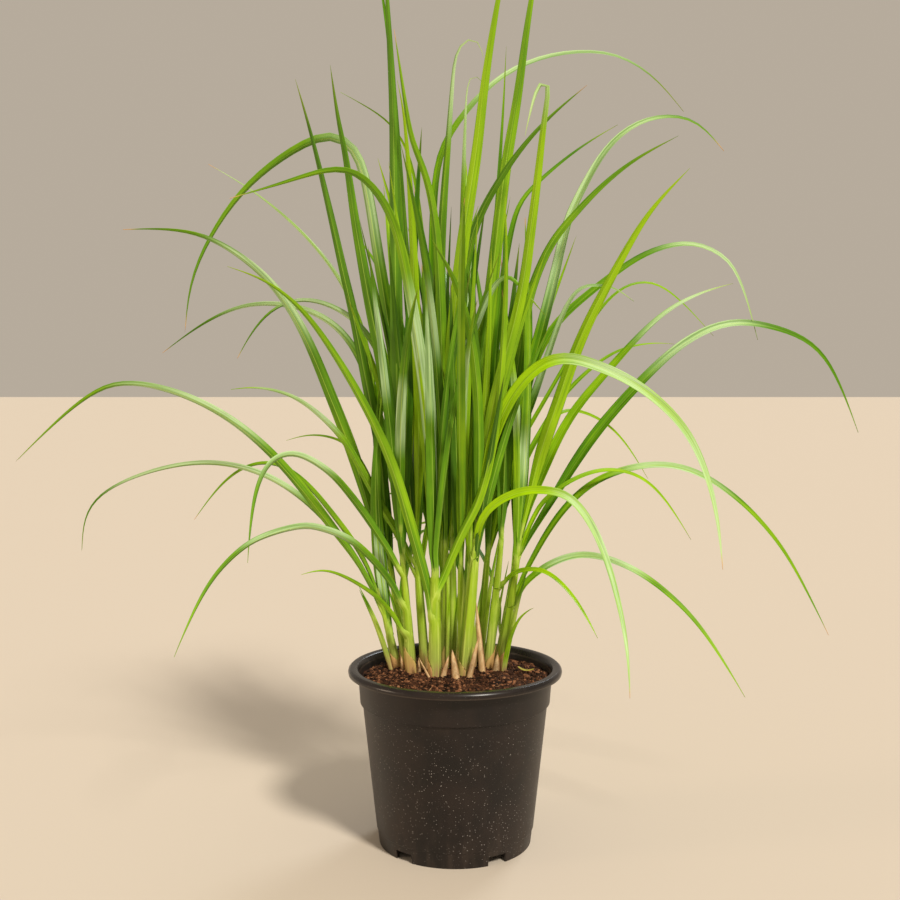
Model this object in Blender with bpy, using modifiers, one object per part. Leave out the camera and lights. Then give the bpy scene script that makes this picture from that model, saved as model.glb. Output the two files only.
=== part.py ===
"""A lemongrass plant in a black nursery pot: the pot, its soil, a clump of leafy stems and some dry sheaths.

The origin is on the ground under the pot's axis, +Z is up and the front of the plant looks along -Y.
"""

import math
import random
from collections import namedtuple

import bmesh
import bpy
from mathutils import Vector
from mathutils.bvhtree import BVHTree

MM = 0.001
GAP = 0.3 * MM

# The pot
RIM_R = 110.0 * MM
POT_H = 182.0 * MM
LIP_H = 6.8 * MM
MOUTH_R = 100.5 * MM
COLLAR_TOP_R = 99.5 * MM
COLLAR_LOW_R = 97.6 * MM
COLLAR_LOW_Z = 146.0 * MM
BODY_TOP_R = 95.1 * MM
FOOT_LINE_Z = 15.5 * MM
FOOT_LINE_R = 81.2 * MM
FOOT_R = 78.5 * MM
FOOT_RING = 3.2 * MM
WALL = 1.6 * MM
FLOOR_Z = 9.6 * MM
POT_STEPS = 40

# Drain notches round the foot, as angles from the front, positive to the right
NOTCHES = 5
NOTCH_FIRST = math.radians(-40.4)
NOTCH_W = 20.0 * MM
NOTCH_H = 9.2 * MM

# The soil
SOIL_EDGE_Z = 170.0 * MM
SOIL_CROWN = 3.0 * MM
SOIL_LUMP = 1.3 * MM
SOIL_RINGS = 5
SOIL_SPOKES = 20
SOIL_TOP = 176.0 * MM
HOLE_SPARE = 0.4 * MM

# The stems and blades
FOOT_DEPTH = 42.0 * MM
STALK_SIDES = 8
STALK_TOP_SHARE = 0.32
STALK_SEGMENTS = 5
BLADE_THICK = 1.3 * MM
BLADE_FOLD = 0.26
BLADE_CLEAR = 0.35 * MM
ROOT_SUNK = 12.0 * MM
SPAN_MM = 56.0
MIN_SPANS = 5
MAX_SPANS = 12
DEPTH_POWER = 1.4

# The eye the routes are seen from: a route's (x, z) are millimetres on the upright plane through the pot's
# axis, and each point slides along its sight line to its own depth.
EYE = Vector((-5.2, -1171.0, 476.0)) * MM

# name, x and depth of the foot, then x, height and depth of the top, and the foot's radius, in millimetres
Stem = namedtuple("Stem", "x y top_x top_z top_y radius")
STEMS = {
    "01": Stem(-58, 27, -79, 262, 22, 5.2),
    "02": Stem(-49, 45, -70, 305, 50, 5.0),
    "03": Stem(-45, 10, -57, 335, 8, 5.8),
    "04": Stem(-31, 30, -42, 315, 30, 4.3),
    "05": Stem(-21, -8, -21, 322, -12, 7.0),
    "06": Stem(-10, 22, -9, 330, 20, 5.0),
    "07": Stem(-2, 48, -3, 340, 50, 5.0),
    "08": Stem(9, -3, 25, 348, -8, 6.8),
    "09": Stem(17, 30, 15, 325, 32, 4.5),
    "10": Stem(33, 27, 50, 335, 28, 5.2),
    "11": Stem(46, 27, 70, 335, 20, 5.4),
    "12": Stem(43, 50, 66, 320, 58, 4.8),
    "13": Stem(23, 53, 36, 330, 66, 5.0),
    "14": Stem(-30, 62, -42, 330, 78, 5.0),
    "15": Stem(-10, 68, -13, 340, 86, 5.0),
    "16": Stem(10, 68, 14, 340, 88, 5.0),
    "17": Stem(-19, 42, -22, 325, 46, 4.5),
    "18": Stem(7, 14, 5, 320, 10, 4.3),
}

# A blade that the front view shows: its stem, the height of its joint, its tip's depth, its width, its roll at
# the root and at the tip in degrees (0 faces the eye), and its route's (x, z) from the joint to the tip
Blade = namedtuple("Blade", "stem joint tip_y width roll route")
SEEN = [
    Blade("01", 250, 0, 11.5, (20, 50), [(-101, 291), (-129, 327), (-183, 397), (-250, 450), (-330, 474),
                                       (-372, 462), (-449, 392)]),
    Blade("12", 290, 110, 13, (15, 50), [(78, 318), (100, 353), (134, 408), (168, 450), (208, 492), (240, 518),
                                         (280, 534), (320, 529), (356, 516), (382, 490), (411, 422)]),
    Blade("01", 240, 90, 9, (30, 50), [(-104, 297), (-150, 350), (-200, 382), (-265, 393), (-350, 368),
                                       (-378, 340), (-383, 300)]),
    Blade("05", 312, -120, 14.5, (10, 45), [(-24, 380), (-31, 460), (-43, 540), (-57, 615), (-71, 652), (-97, 682),
                                          (-125, 687), (-172, 673), (-227, 658)]),
    Blade("08", 335, -150, 13.5, (10, 35), [(33, 390), (42, 425), (57, 457), (75, 480), (95, 494), (118, 497),
                                          (150, 487), (180, 473), (211, 450), (237, 421), (255, 384),
                                          (268, 337), (275, 281)]),
    Blade("08", 305, -215, 9.5, (20, 35), [(26, 333), (47, 353), (72, 362), (97, 362), (118, 355), (139, 328),
                                         (153, 297), (166, 254), (177, 202), (181, 147)]),
    Blade("11", 325, -70, 14.5, (5, 30), [(80, 374), (91, 415), (105, 454), (119, 498), (136, 538), (153, 571),
                                        (175, 612), (199, 650), (236, 688)]),
    Blade("02", 285, -20, 14.5, (5, 50), [(-77, 304), (-92, 360), (-110, 415), (-130, 465), (-150, 515),
                                        (-180, 567), (-225, 606), (-270, 626), (-335, 627)]),
    Blade("06", 320, -80, 15.5, (5, 15), [(-12, 400), (-5, 490), (3, 580), (11, 640), (21, 700), (28, 764),
                                        (38, 829), (52, 905), (57, 932)]),
    Blade("09", 315, -20, 15.5, (5, 15), [(22, 420), (31, 520), (40, 600), (50, 690), (62, 755), (70, 820),
                                        (86, 915), (91, 940)]),
    Blade("08", 330, -110, 13, (5, 25), [(30, 407), (45, 477), (58, 525), (69, 573), (75, 620), (82, 673),
                                         (89, 739), (93, 766), (90, 774), (83, 768), (77, 750), (70, 720)]),
    Blade("06", 325, -30, 13, (5, 40), [(-14, 450), (-17, 560), (-13, 650), (-8, 710), (-3, 775), (1, 803),
                                        (13, 816), (24, 812), (28, 797)]),
    Blade("03", 325, -20, 14.5, (0, 15), [(-59, 450), (-60, 560), (-61, 650), (-62, 740), (-65, 800), (-68, 855),
                                        (-71, 918)]),
    Blade("10", 325, 40, 14.5, (10, 50), [(55, 400), (68, 450), (80, 495), (92, 540), (104, 590), (114, 635),
                                        (127, 663), (149, 703), (175, 728), (205, 739), (240, 736), (270, 705)]),
    Blade("14", 315, 60, 14.5, (5, 45), [(-56, 450), (-70, 550), (-80, 608), (-88, 660), (-100, 705), (-125, 721),
                                       (-165, 704), (-213, 667), (-250, 614), (-268, 570), (-274, 523)]),
    Blade("07", 330, -60, 12.5, (10, 25), [(-2, 420), (2, 520), (10, 590), (20, 632), (40, 670), (62, 703),
                                         (93, 738), (132, 770)]),
    Blade("15", 330, 130, 11, (20, 50), [(-20, 450), (-22, 560), (-21, 650), (-15, 700), (0, 729), (23, 757),
                                        (50, 781), (93, 799), (137, 803), (168, 797), (200, 777), (229, 744)]),
    Blade("07", 320, -140, 12.5, (10, 35), [(-2, 400), (2, 480), (8, 500), (24, 540), (38, 570), (50, 581),
                                          (60, 577), (75, 560), (91, 541)]),
    Blade("11", 248, -60, 9, (35, 40), [(69, 263), (89, 281), (114, 293), (137, 296), (168, 288), (201, 270),
                                        (239, 237), (265, 204), (300, 148)]),
    Blade("12", 255, 40, 9.5, (35, 40), [(64, 262), (78, 288), (98, 324), (121, 353), (149, 375), (196, 389),
                                       (239, 385), (286, 357), (326, 316), (350, 280), (385, 213)]),
    Blade("03", 250, -130, 9, (30, 40), [(-70, 273), (-93, 299), (-112, 314), (-140, 324), (-158, 326),
                                         (-200, 314), (-222, 300), (-255, 265), (-290, 190)]),
    Blade("03", 285, -60, 9, (20, 40), [(-68, 300), (-81, 320), (-93, 338), (-111, 362), (-128, 381),
                                        (-155, 398), (-172, 400), (-190, 391), (-205, 358), (-213, 288)]),
    Blade("03", 300, -50, 14.5, (0, 15), [(-58, 360), (-65, 441), (-80, 520), (-88, 560), (-95, 600), (-102, 640),
                                        (-110, 700), (-118, 738), (-125, 790)]),
    Blade("02", 295, 30, 12.5, (5, 20), [(-76, 406), (-84, 442), (-91, 477), (-104, 546), (-113, 583), (-122, 625),
                                       (-140, 703), (-150, 741), (-160, 776)]),
    Blade("05", 240, -60, 12.5, (20, 40), [(-27, 256), (-47, 328), (-67, 397), (-100, 463), (-130, 512),
                                         (-155, 546), (-190, 575), (-230, 590)]),
    Blade("17", 315, 60, 10, (20, 45), [(-50, 400), (-60, 452), (-76, 500), (-104, 539), (-150, 558),
                                       (-183, 548), (-205, 525), (-222, 496)]),
    Blade("14", 320, 140, 11, (20, 50), [(-66, 370), (-74, 420), (-89, 477), (-112, 522), (-150, 547),
                                        (-205, 553), (-250, 536), (-297, 503)]),
    Blade("04", 290, -10, 10, (15, 45), [(-56, 315), (-70, 335), (-93, 377), (-114, 415), (-140, 441),
                                        (-165, 459), (-200, 468), (-228, 466)]),
    Blade("12", 300, 90, 11, (15, 45), [(60, 420), (75, 475), (88, 508), (106, 536), (133, 560), (165, 585),
                                       (195, 604), (235, 614), (265, 604), (285, 585), (307, 516)]),
    Blade("11", 318, 20, 11, (15, 35), [(76, 346), (90, 380), (105, 415), (124, 447), (150, 478), (185, 518),
                                       (215, 546), (250, 564), (281, 573)]),
    Blade("10", 320, -30, 12.5, (10, 25), [(55, 420), (63, 480), (70, 540), (80, 578), (98, 616), (116, 638),
                                         (145, 669), (180, 697), (224, 720)]),
    Blade("13", 320, -20, 11, (15, 45), [(50, 390), (70, 430), (85, 470), (101, 519), (113, 550), (127, 569),
                                        (146, 571), (162, 568), (181, 555)]),
    Blade("06", 315, -40, 12.5, (5, 25), [(-12, 390), (-13, 480), (-16, 580), (-22, 648), (-33, 690), (-44, 715),
                                        (-51, 757), (-61, 825)]),
    Blade("04", 305, -90, 12.5, (5, 25), [(-36, 420), (-40, 520), (-43, 620), (-48, 700), (-52, 745), (-58, 775)]),
    Blade("17", 320, 70, 11, (0, 20), [(-38, 450), (-50, 600), (-57, 700), (-64, 800), (-72, 855), (-80, 908)]),
    Blade("05", 262, -60, 10, (25, 25), [(-7, 288), (0, 304), (10, 326), (22, 348), (33, 385), (43, 440),
                                        (49, 520), (52, 600), (50, 660)]),
    Blade("16", 330, 60, 11, (5, 40), [(8, 450), (6, 580), (8, 690), (10, 740), (12, 770), (18, 781), (26, 774)]),
    Blade("13", 325, 120, 10, (15, 35), [(38, 450), (46, 560), (57, 625), (66, 655), (88, 678), (126, 709),
                                        (163, 731)]),
    Blade("09", 305, 60, 7.5, (5, 15), [(26, 450), (38, 580), (44, 680), (48, 740), (51, 808)]),
    Blade("02", 270, 150, 7.5, (15, 40), [(-74, 380), (-82, 450), (-92, 520), (-105, 553), (-118, 579),
                                        (-150, 620), (-201, 664), (-248, 692)]),
    Blade("10", 268, -100, 6, (35, 35), [(56, 275), (72, 281), (90, 280), (108, 268), (128, 244), (147, 210)]),
    Blade("11", 300, 60, 6, (30, 40), [(85, 345), (101, 360), (121, 374), (150, 384), (180, 381), (208, 363),
                                       (242, 312)]),
    Blade("13", 300, 150, 6, (30, 40), [(62, 370), (80, 412), (104, 441), (120, 445), (145, 437), (170, 417),
                                        (197, 375)]),
    Blade("16", 320, 170, 6, (30, 40), [(60, 400), (95, 460), (135, 530), (162, 564), (188, 575), (215, 568),
                                        (262, 520)]),
    Blade("13", 310, 100, 7.5, (25, 35), [(75, 400), (95, 435), (111, 460), (139, 488), (168, 507), (201, 513),
                                        (222, 512)]),
    Blade("15", 320, 110, 7.5, (15, 35), [(-22, 420), (-30, 600), (-43, 695), (-60, 727), (-80, 744), (-115, 763)]),
    Blade("01", 256, 70, 7.5, (30, 45), [(-97, 298), (-123, 334), (-150, 368), (-175, 387), (-195, 391),
                                       (-216, 386), (-240, 368), (-267, 333)]),
    Blade("03", 222, -70, 6, (35, 35), [(-66, 236), (-82, 254), (-112, 273), (-135, 281), (-158, 276)]),
    Blade("04", 280, 120, 6, (30, 35), [(-75, 345), (-92, 385), (-105, 405), (-122, 416), (-148, 420),
                                        (-172, 414)]),
]

# Depths tried in turn for a blade that would cross another stem, as steps along its own sight lines
DEPTH_STEPS = [0, 14, -14, 28, -28, 44, -44, 62, -62, 82, -82, 104, -104, 128, -128]
LIFT_STEPS = [0, -12, 12, -24]

# Blades that the front view hides or blends, by rule
# A filler gives its joint's drop below the stalk's top, its angles in degrees (azimuth from +X, lean from the stalk
# at the root and at the tip), how late it bends, and its length, width and furthest reach along Y in millimetres
Filler = namedtuple("Filler", "count stems drop azimuth lean bend late length width reach")
FILLERS = [
    Filler(1, ["15"], (6, 45), (78, 104), (8, 18), (84, 112), (1.2, 1.8), (400, 540), (11, 12), (312, 322)),
    Filler(1, ["18"], (6, 45), (258, 276), (14, 18), (84, 96), (1.4, 1.6), (440, 560), (11, 12), (314, 320)),
    Filler(30, list(STEMS), (6, 45), (0, 360), (1, 8), (6, 26), (1.2, 2.0), (240, 450), (11, 15), (0, 260)),
    Filler(7, ["14", "15", "16", "07"], (6, 30), (60, 120), (4, 12), (45, 120), (1.6, 3.0), (400, 560), (11, 14),
           (120, 305)),
    Filler(5, ["16", "15", "14", "02", "12"], (50, 100), (50, 130), (14, 30), (90, 150), (1.0, 1.6), (220, 400),
           (9, 12), (100, 300)),
    Filler(4, ["12", "13", "16", "10"], (6, 60), (25, 75), (6, 20), (60, 130), (1.2, 2.4), (300, 480), (10, 13),
           (60, 290)),
    Filler(4, ["02", "14", "17", "01"], (6, 60), (105, 155), (6, 20), (60, 130), (1.2, 2.4), (300, 480), (10, 13),
           (60, 290)),
    Filler(5, ["05", "08", "18", "03", "06"], (6, 60), (225, 315), (6, 16), (30, 100), (1.4, 2.6), (280, 440),
           (10, 12), (60, 260)),
]
FILLER_TRIES = 90
# A blade that bends over less than this has its face turned to the front
UPRIGHT_BEND = math.radians(30)
SEED = 11
# Half width and height of the tuft of blades as the front view shows it, in millimetres
TUFT = [(0, 78), (340, 78), (460, 94), (600, 100), (700, 84), (790, 52), (800, 0)]
TUFT_X = -6.0

# Dry sheaths at the foot of the clump: x, depth, width, then x and height of the tip, in millimetres
Sheath = namedtuple("Sheath", "x y width tip_x tip_z tip_y")
SHEATHS = {
    "01": Sheath(-10.5, -18, 5.4, -6.5, 192, -20),
    "02": Sheath(0.0, -19, 7.4, -3.0, 198, -20),
    "03": Sheath(16.5, -15, 5.6, 24.5, 212, -18),
    "04": Sheath(28.0, 9, 6.6, 21.4, 249, 8),
    "05": Sheath(-30.5, -17, 2.6, -37.5, 190, -19),
    "06": Sheath(-37.0, -1, 4.2, -37.5, 189, -6),
    "07": Sheath(42.0, 15, 8.6, 44.0, 194, 12),
    "08": Sheath(-53.0, 14, 5.6, -56.0, 192, 10),
}
SHEATH_THICK = 1.3 * MM
SHEATH_DEPTH = 16.0 * MM
SHEATH_SPANS = 4
STRIP_STEPS = 6
STRIP_FOOT = 0.55
STRIP_SPARE = 0.45 * MM

# The thin young blade to the right of the clump, with its own foot
SHOOT_FOOT = (50.5, 12.0)
SHOOT_WIDTH = 4.2
SHOOT_TIP_Y = -8.0
SHOOT_ROUTE = [(55, 202), (60, 218), (67, 231), (76, 239), (81, 241.5)]

COLOURS = {
    "pot": ((0.022, 0.019, 0.017, 1), 0.42),
    "soil": ((0.075, 0.034, 0.018, 1), 0.95),
    "leaf": ((0.16, 0.33, 0.03, 1), 0.45),
    "dry": ((0.52, 0.33, 0.14, 1), 0.8),
}


def clear_scene():
    for obj in list(bpy.data.objects):
        bpy.data.objects.remove(obj, do_unlink=True)


def make_collection(name, hidden=False):
    found = bpy.data.collections.new(name)
    bpy.context.scene.collection.children.link(found)
    found.hide_render = hidden
    return found


def make_materials():
    made = {}
    for name, (colour, roughness) in COLOURS.items():
        material = bpy.data.materials.new(name)
        material.use_nodes = True
        shader = material.node_tree.nodes["Principled BSDF"]
        shader.inputs["Base Color"].default_value = colour
        shader.inputs["Roughness"].default_value = roughness
        shader.inputs["Metallic"].default_value = 0.0
        material.diffuse_color = colour
        made[name] = material
    return made


def add_object(name, mesh, collection, material=None):
    obj = bpy.data.objects.new(name, mesh)
    collection.objects.link(obj)
    if material:
        mesh.materials.clear()
        mesh.materials.append(material)
    return obj


def mesh_from(name, vertices, faces):
    """A closed mesh of the given faces, turned to point outwards."""
    mesh = bpy.data.meshes.new(name)
    mesh.from_pydata([tuple(v) for v in vertices], [], faces)
    work = bmesh.new()
    work.from_mesh(mesh)
    bmesh.ops.recalc_face_normals(work, faces=work.faces)
    work.to_mesh(mesh)
    work.free()
    return mesh


def as_cutter(obj):
    obj.hide_render = True
    obj.display_type = "WIRE"
    return obj


def apply_modifiers(obj):
    """Turns the object's evaluated shape into its own plain mesh."""
    graph = bpy.context.evaluated_depsgraph_get()
    mesh = bpy.data.meshes.new_from_object(obj.evaluated_get(graph))
    obj.modifiers.clear()
    obj.data = mesh


def combine(obj, collection, operation):
    modifier = obj.modifiers.new(operation.lower(), "BOOLEAN")
    modifier.operand_type = "COLLECTION"
    modifier.collection = collection
    modifier.operation = operation
    modifier.solver = "EXACT"
    apply_modifiers(obj)
    for other in list(collection.objects):
        bpy.data.objects.remove(other, do_unlink=True)
    bpy.data.collections.remove(collection)


def inner_radius(z):
    """The pot's inner wall at a height, which the soil fills."""
    if z > COLLAR_LOW_Z:
        share = (z - COLLAR_LOW_Z) / (POT_H - LIP_H - COLLAR_LOW_Z)
        return COLLAR_LOW_R + (COLLAR_TOP_R - COLLAR_LOW_R) * share - WALL
    share = (z - FOOT_LINE_Z) / (COLLAR_LOW_Z - FOOT_LINE_Z)
    return FOOT_LINE_R + (BODY_TOP_R - FOOT_LINE_R) * share - WALL


def pot_profile():
    """The section as (radius, height), from the floor's middle up inside, over the lip and down outside."""
    under_lip = POT_H - LIP_H
    floor_top = FLOOR_Z + WALL
    return [
        (0.0, floor_top),
        (inner_radius(floor_top) - 3 * MM, floor_top),
        (inner_radius(floor_top + 3 * MM), floor_top + 3 * MM),
        (inner_radius(COLLAR_LOW_Z - 3 * MM), COLLAR_LOW_Z - 3 * MM),
        (COLLAR_LOW_R - WALL, COLLAR_LOW_Z + 1.5 * MM),
        (COLLAR_TOP_R - WALL, under_lip),
        (MOUTH_R, POT_H - 1.2 * MM),
        (MOUTH_R + 2.2 * MM, POT_H),
        (RIM_R - 2.6 * MM, POT_H - 0.2 * MM),
        (RIM_R - 0.6 * MM, POT_H - 2.0 * MM),
        (RIM_R, POT_H - 4.2 * MM),
        (RIM_R - 0.6 * MM, under_lip),
        (RIM_R - 2.1 * MM, under_lip + 0.5 * MM),
        (RIM_R - 2.3 * MM, POT_H - 3.4 * MM),
        (MOUTH_R + 3.6 * MM, POT_H - 2.4 * MM),
        (COLLAR_TOP_R + 1.2 * MM, under_lip - 0.5 * MM),
        (COLLAR_TOP_R, under_lip - 4.0 * MM),
        (COLLAR_LOW_R, COLLAR_LOW_Z),
        (BODY_TOP_R, COLLAR_LOW_Z - 1.6 * MM),
        (FOOT_LINE_R, FOOT_LINE_Z + 0.6 * MM),
        (FOOT_LINE_R - 1.0 * MM, FOOT_LINE_Z - 0.4 * MM),
        (FOOT_R, 0.0),
        (FOOT_R - FOOT_RING, 0.0),
        (FOOT_R - FOOT_RING + 0.6 * MM, FLOOR_Z),
        (0.0, FLOOR_Z),
    ]


def turned(name, points, steps, collection):
    """A solid turned from a profile of (radius, height) whose ends lie on the axis."""
    mesh = bpy.data.meshes.new(name)
    edges = [(i, i + 1) for i in range(len(points) - 1)]
    mesh.from_pydata([(r, 0.0, z) for r, z in points], edges, [])
    solid = add_object(name, mesh, collection)
    turn = solid.modifiers.new("turn", "SCREW")
    turn.steps = steps
    turn.render_steps = steps
    turn.use_merge_vertices = True
    turn.merge_threshold = 1e-5
    turn.use_normal_calculate = True
    apply_modifiers(solid)
    return solid


def make_pot(collection, material):
    pot = turned("pot", pot_profile(), POT_STEPS, collection)
    notches = make_collection("notches", hidden=True)
    for index in range(NOTCHES):
        angle = NOTCH_FIRST + index * math.tau / NOTCHES
        bpy.ops.mesh.primitive_cube_add(size=1.0)
        box = bpy.context.object
        box.name = f"notch_{index + 1}"
        box.scale = (NOTCH_W, 4 * FOOT_RING, 2 * NOTCH_H)
        box.rotation_euler = (0.0, 0.0, angle)
        box.location = (math.sin(angle) * FOOT_R, -math.cos(angle) * FOOT_R, 0.0)
        for home in list(box.users_collection):
            home.objects.unlink(box)
        notches.objects.link(as_cutter(box))
    bpy.context.view_layer.update()
    combine(pot, notches, "DIFFERENCE")
    pot.data.materials.clear()
    pot.data.materials.append(material)
    pot.data.shade_smooth()
    pot.data.set_sharp_from_angle(angle=math.radians(30))
    return pot


def soil_height(x, y):
    """The soil's top: a low crown with a few soft lumps."""
    r = math.hypot(x, y) / inner_radius(SOIL_EDGE_Z)
    lumps = math.sin(x * 95.0 + 1.0) * math.sin(y * 88.0 - 0.6) + 0.6 * math.sin(x * 170.0 - y * 140.0)
    rise = SOIL_CROWN * (1 - r * r) + SOIL_LUMP * lumps * (1 - r ** 6)
    return SOIL_EDGE_Z + rise


def make_soil(collection, material, holes):
    """A plug that fills the pot, with a plain hole for each foot in it."""
    edge_r = inner_radius(SOIL_EDGE_Z) - GAP
    floor_z = FLOOR_Z + WALL + GAP
    profile = [(edge_r * ring / SOIL_RINGS, SOIL_EDGE_Z) for ring in range(SOIL_RINGS + 1)]
    profile += [(inner_radius(z) - 2 * GAP, z) for z in (COLLAR_LOW_Z + 2 * MM, COLLAR_LOW_Z - 4 * MM, floor_z + 4 * MM)]
    profile += [(inner_radius(floor_z) - 4 * MM, floor_z), (0.0, floor_z)]
    soil = turned("soil", profile, SOIL_SPOKES, collection)
    work = bmesh.new()
    work.from_mesh(soil.data)
    for vertex in work.verts:
        if vertex.co.z > SOIL_EDGE_Z - GAP:
            vertex.co.z = soil_height(vertex.co.x, vertex.co.y)
    bmesh.ops.triangulate(work, faces=work.faces)
    work.to_mesh(soil.data)
    work.free()
    cutters = make_collection("holes", hidden=True)
    for index, hole in enumerate(holes):
        cutters.objects.link(as_cutter(bpy.data.objects.new(f"hole_{index + 1}", hole)))
    bpy.context.view_layer.update()
    combine(soil, cutters, "DIFFERENCE")
    soil.data.materials.clear()
    soil.data.materials.append(material)
    return soil


def at_depth(x, z, y):
    """The point seen at (x, z) millimetres on the middle plane, slid along its sight line to depth y."""
    seen = Vector((x, 0.0, z)) * MM
    return EYE + (seen - EYE) * ((y * MM - EYE.y) / -EYE.y)


class Stalk:
    """A stem's round stalk, from its foot in the soil to its top."""

    def __init__(self, stem):
        low = at_depth(stem.x, 172.0, stem.y)
        self.top = at_depth(stem.top_x, stem.top_z, stem.top_y)
        self.lean = (self.top - low).normalized()
        self.foot = low - self.lean * (FOOT_DEPTH / self.lean.z)
        self.radius = stem.radius * MM

    def at(self, z):
        return self.foot + self.lean * ((z - self.foot.z) / self.lean.z)

    def radius_at(self, z):
        share = (z - self.foot.z) / (self.top.z - self.foot.z)
        return self.radius * (1 - (1 - STALK_TOP_SHARE) * share ** 3)

    def stations(self):
        rise = self.top.z - self.foot.z
        heights = [self.foot.z + rise * i / STALK_SEGMENTS for i in range(STALK_SEGMENTS + 1)]
        return [(self.at(z), self.radius_at(z)) for z in heights]

    def shell(self, spare):
        """Vertices and triangles of a tube a little larger than the stalk, to test what comes near it."""
        side = self.lean.orthogonal().normalized()
        up = self.lean.cross(side)
        vertices, faces = [], []
        for centre, radius in self.stations():
            for k in range(STALK_SIDES):
                angle = math.tau * k / STALK_SIDES
                reach = (radius + spare) / math.cos(math.pi / STALK_SIDES)
                vertices.append(centre + (side * math.cos(angle) + up * math.sin(angle)) * reach)
        for i in range(0, STALK_SEGMENTS * STALK_SIDES, STALK_SIDES):
            for k in range(STALK_SIDES):
                a, b = i + k, i + (k + 1) % STALK_SIDES
                faces += [(a, b, b + STALK_SIDES), (a, b + STALK_SIDES, a + STALK_SIDES)]
        return vertices, faces

    def hole(self, name):
        """The shape that leaves an even gap round the foot and under it, open above the soil."""
        wide = self.radius + HOLE_SPARE
        return tube_mesh(name, [(self.foot - self.lean * GAP, wide), (self.at(POT_H), wide)])


def tube_mesh(name, places):
    """A closed tube through the places, each a centre and a radius."""
    curve = bpy.data.curves.new(name, "CURVE")
    curve.dimensions = "3D"
    curve.bevel_depth = 1.0
    curve.bevel_resolution = STALK_SIDES // 2 - 2
    curve.use_fill_caps = True
    spline = curve.splines.new("POLY")
    spline.points.add(len(places) - 1)
    for point, (centre, radius) in zip(spline.points, places):
        point.co = (*centre, 1.0)
        point.radius = radius
    tube = bpy.data.objects.new(name, curve)
    bpy.context.scene.collection.objects.link(tube)
    graph = bpy.context.evaluated_depsgraph_get()
    mesh = bpy.data.meshes.new_from_object(tube.evaluated_get(graph))
    bpy.data.objects.remove(tube, do_unlink=True)
    work = bmesh.new()
    work.from_mesh(mesh)
    bmesh.ops.remove_doubles(work, verts=work.verts, dist=1e-6)
    bmesh.ops.recalc_face_normals(work, faces=work.faces)
    work.to_mesh(mesh)
    work.free()
    return mesh


def smooth_path(points, per_span=10):
    """A centripetal Catmull-Rom curve through the points."""
    ends = [points[0] * 2 - points[1]] + list(points) + [points[-1] * 2 - points[-2]]
    path = []
    for p0, p1, p2, p3 in zip(ends, ends[1:], ends[2:], ends[3:]):
        t1 = max((p1 - p0).length, 1e-6) ** 0.5
        t2 = t1 + max((p2 - p1).length, 1e-6) ** 0.5
        t3 = t2 + max((p3 - p2).length, 1e-6) ** 0.5
        for i in range(per_span):
            t = t1 + (t2 - t1) * i / per_span
            a1 = p0 * ((t1 - t) / t1) + p1 * (t / t1)
            a2 = p1 * ((t2 - t) / (t2 - t1)) + p2 * ((t - t1) / (t2 - t1))
            a3 = p2 * ((t3 - t) / (t3 - t2)) + p3 * ((t - t2) / (t3 - t2))
            b1 = a1 * ((t2 - t) / t2) + a2 * (t / t2)
            b2 = a2 * ((t3 - t) / (t3 - t1)) + a3 * ((t - t1) / (t3 - t1))
            path.append(b1 * ((t2 - t) / (t2 - t1)) + b2 * ((t - t1) / (t2 - t1)))
    path.append(points[-1].copy())
    return path


def spread(path):
    """The path's points at even steps, closer where it bends, with each one's share of the length."""
    lengths, weights = [0.0], [0.0]
    for i in range(1, len(path)):
        step = (path[i] - path[i - 1]).length
        turn = 0.0
        if i < len(path) - 1 and step > 1e-7 and (path[i + 1] - path[i]).length > 1e-7:
            turn = (path[i] - path[i - 1]).angle(path[i + 1] - path[i])
        lengths.append(lengths[-1] + step)
        weights.append(weights[-1] + step + turn * 60 * MM)
    spans = max(MIN_SPANS, min(MAX_SPANS, round(weights[-1] / (SPAN_MM * MM))))
    picked, i = [], 0
    for k in range(spans + 1):
        goal = weights[-1] * k / spans
        while i < len(path) - 2 and weights[i + 1] < goal:
            i += 1
        share = min(1.0, max(0.0, (goal - weights[i]) / max(weights[i + 1] - weights[i], 1e-9)))
        place = path[i].lerp(path[i + 1], share)
        along = (lengths[i] + (lengths[i + 1] - lengths[i]) * share) / lengths[-1]
        picked.append((place, along))
    return picked


def width_at(along, root_share):
    """A blade's width along it, as a share of its widest: narrow at the root, long and tapering to the tip."""
    swell = min(1.0, along / 0.28)
    swell = swell * swell * (3 - 2 * swell)
    return (root_share + (1 - root_share) * swell) * (1 - along ** 2.3) ** 0.85


def blade_sections(path, width, roll, face, root_width):
    """The blade's four-sided sections, as (left, top, right, bottom), and its tip."""
    places = spread(path)
    root_share = min(1.0, root_width / width)
    frames = []
    for k, (place, along) in enumerate(places):
        before = places[max(k - 1, 0)][0]
        after = places[min(k + 1, len(places) - 1)][0]
        tangent = (after - before).normalized()
        side = face(place, tangent)
        normal = side.cross(tangent).normalized()
        angle = math.radians(roll[0] + (roll[1] - roll[0]) * along)
        turned = side * math.cos(angle) + normal * math.sin(angle)
        frames.append((place, along, turned, turned.cross(tangent).normalized()))
    middle = frames[len(frames) // 2]
    up = 1.0 if middle[3].z > 0 else -1.0
    return frames, up, root_share, width


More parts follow.
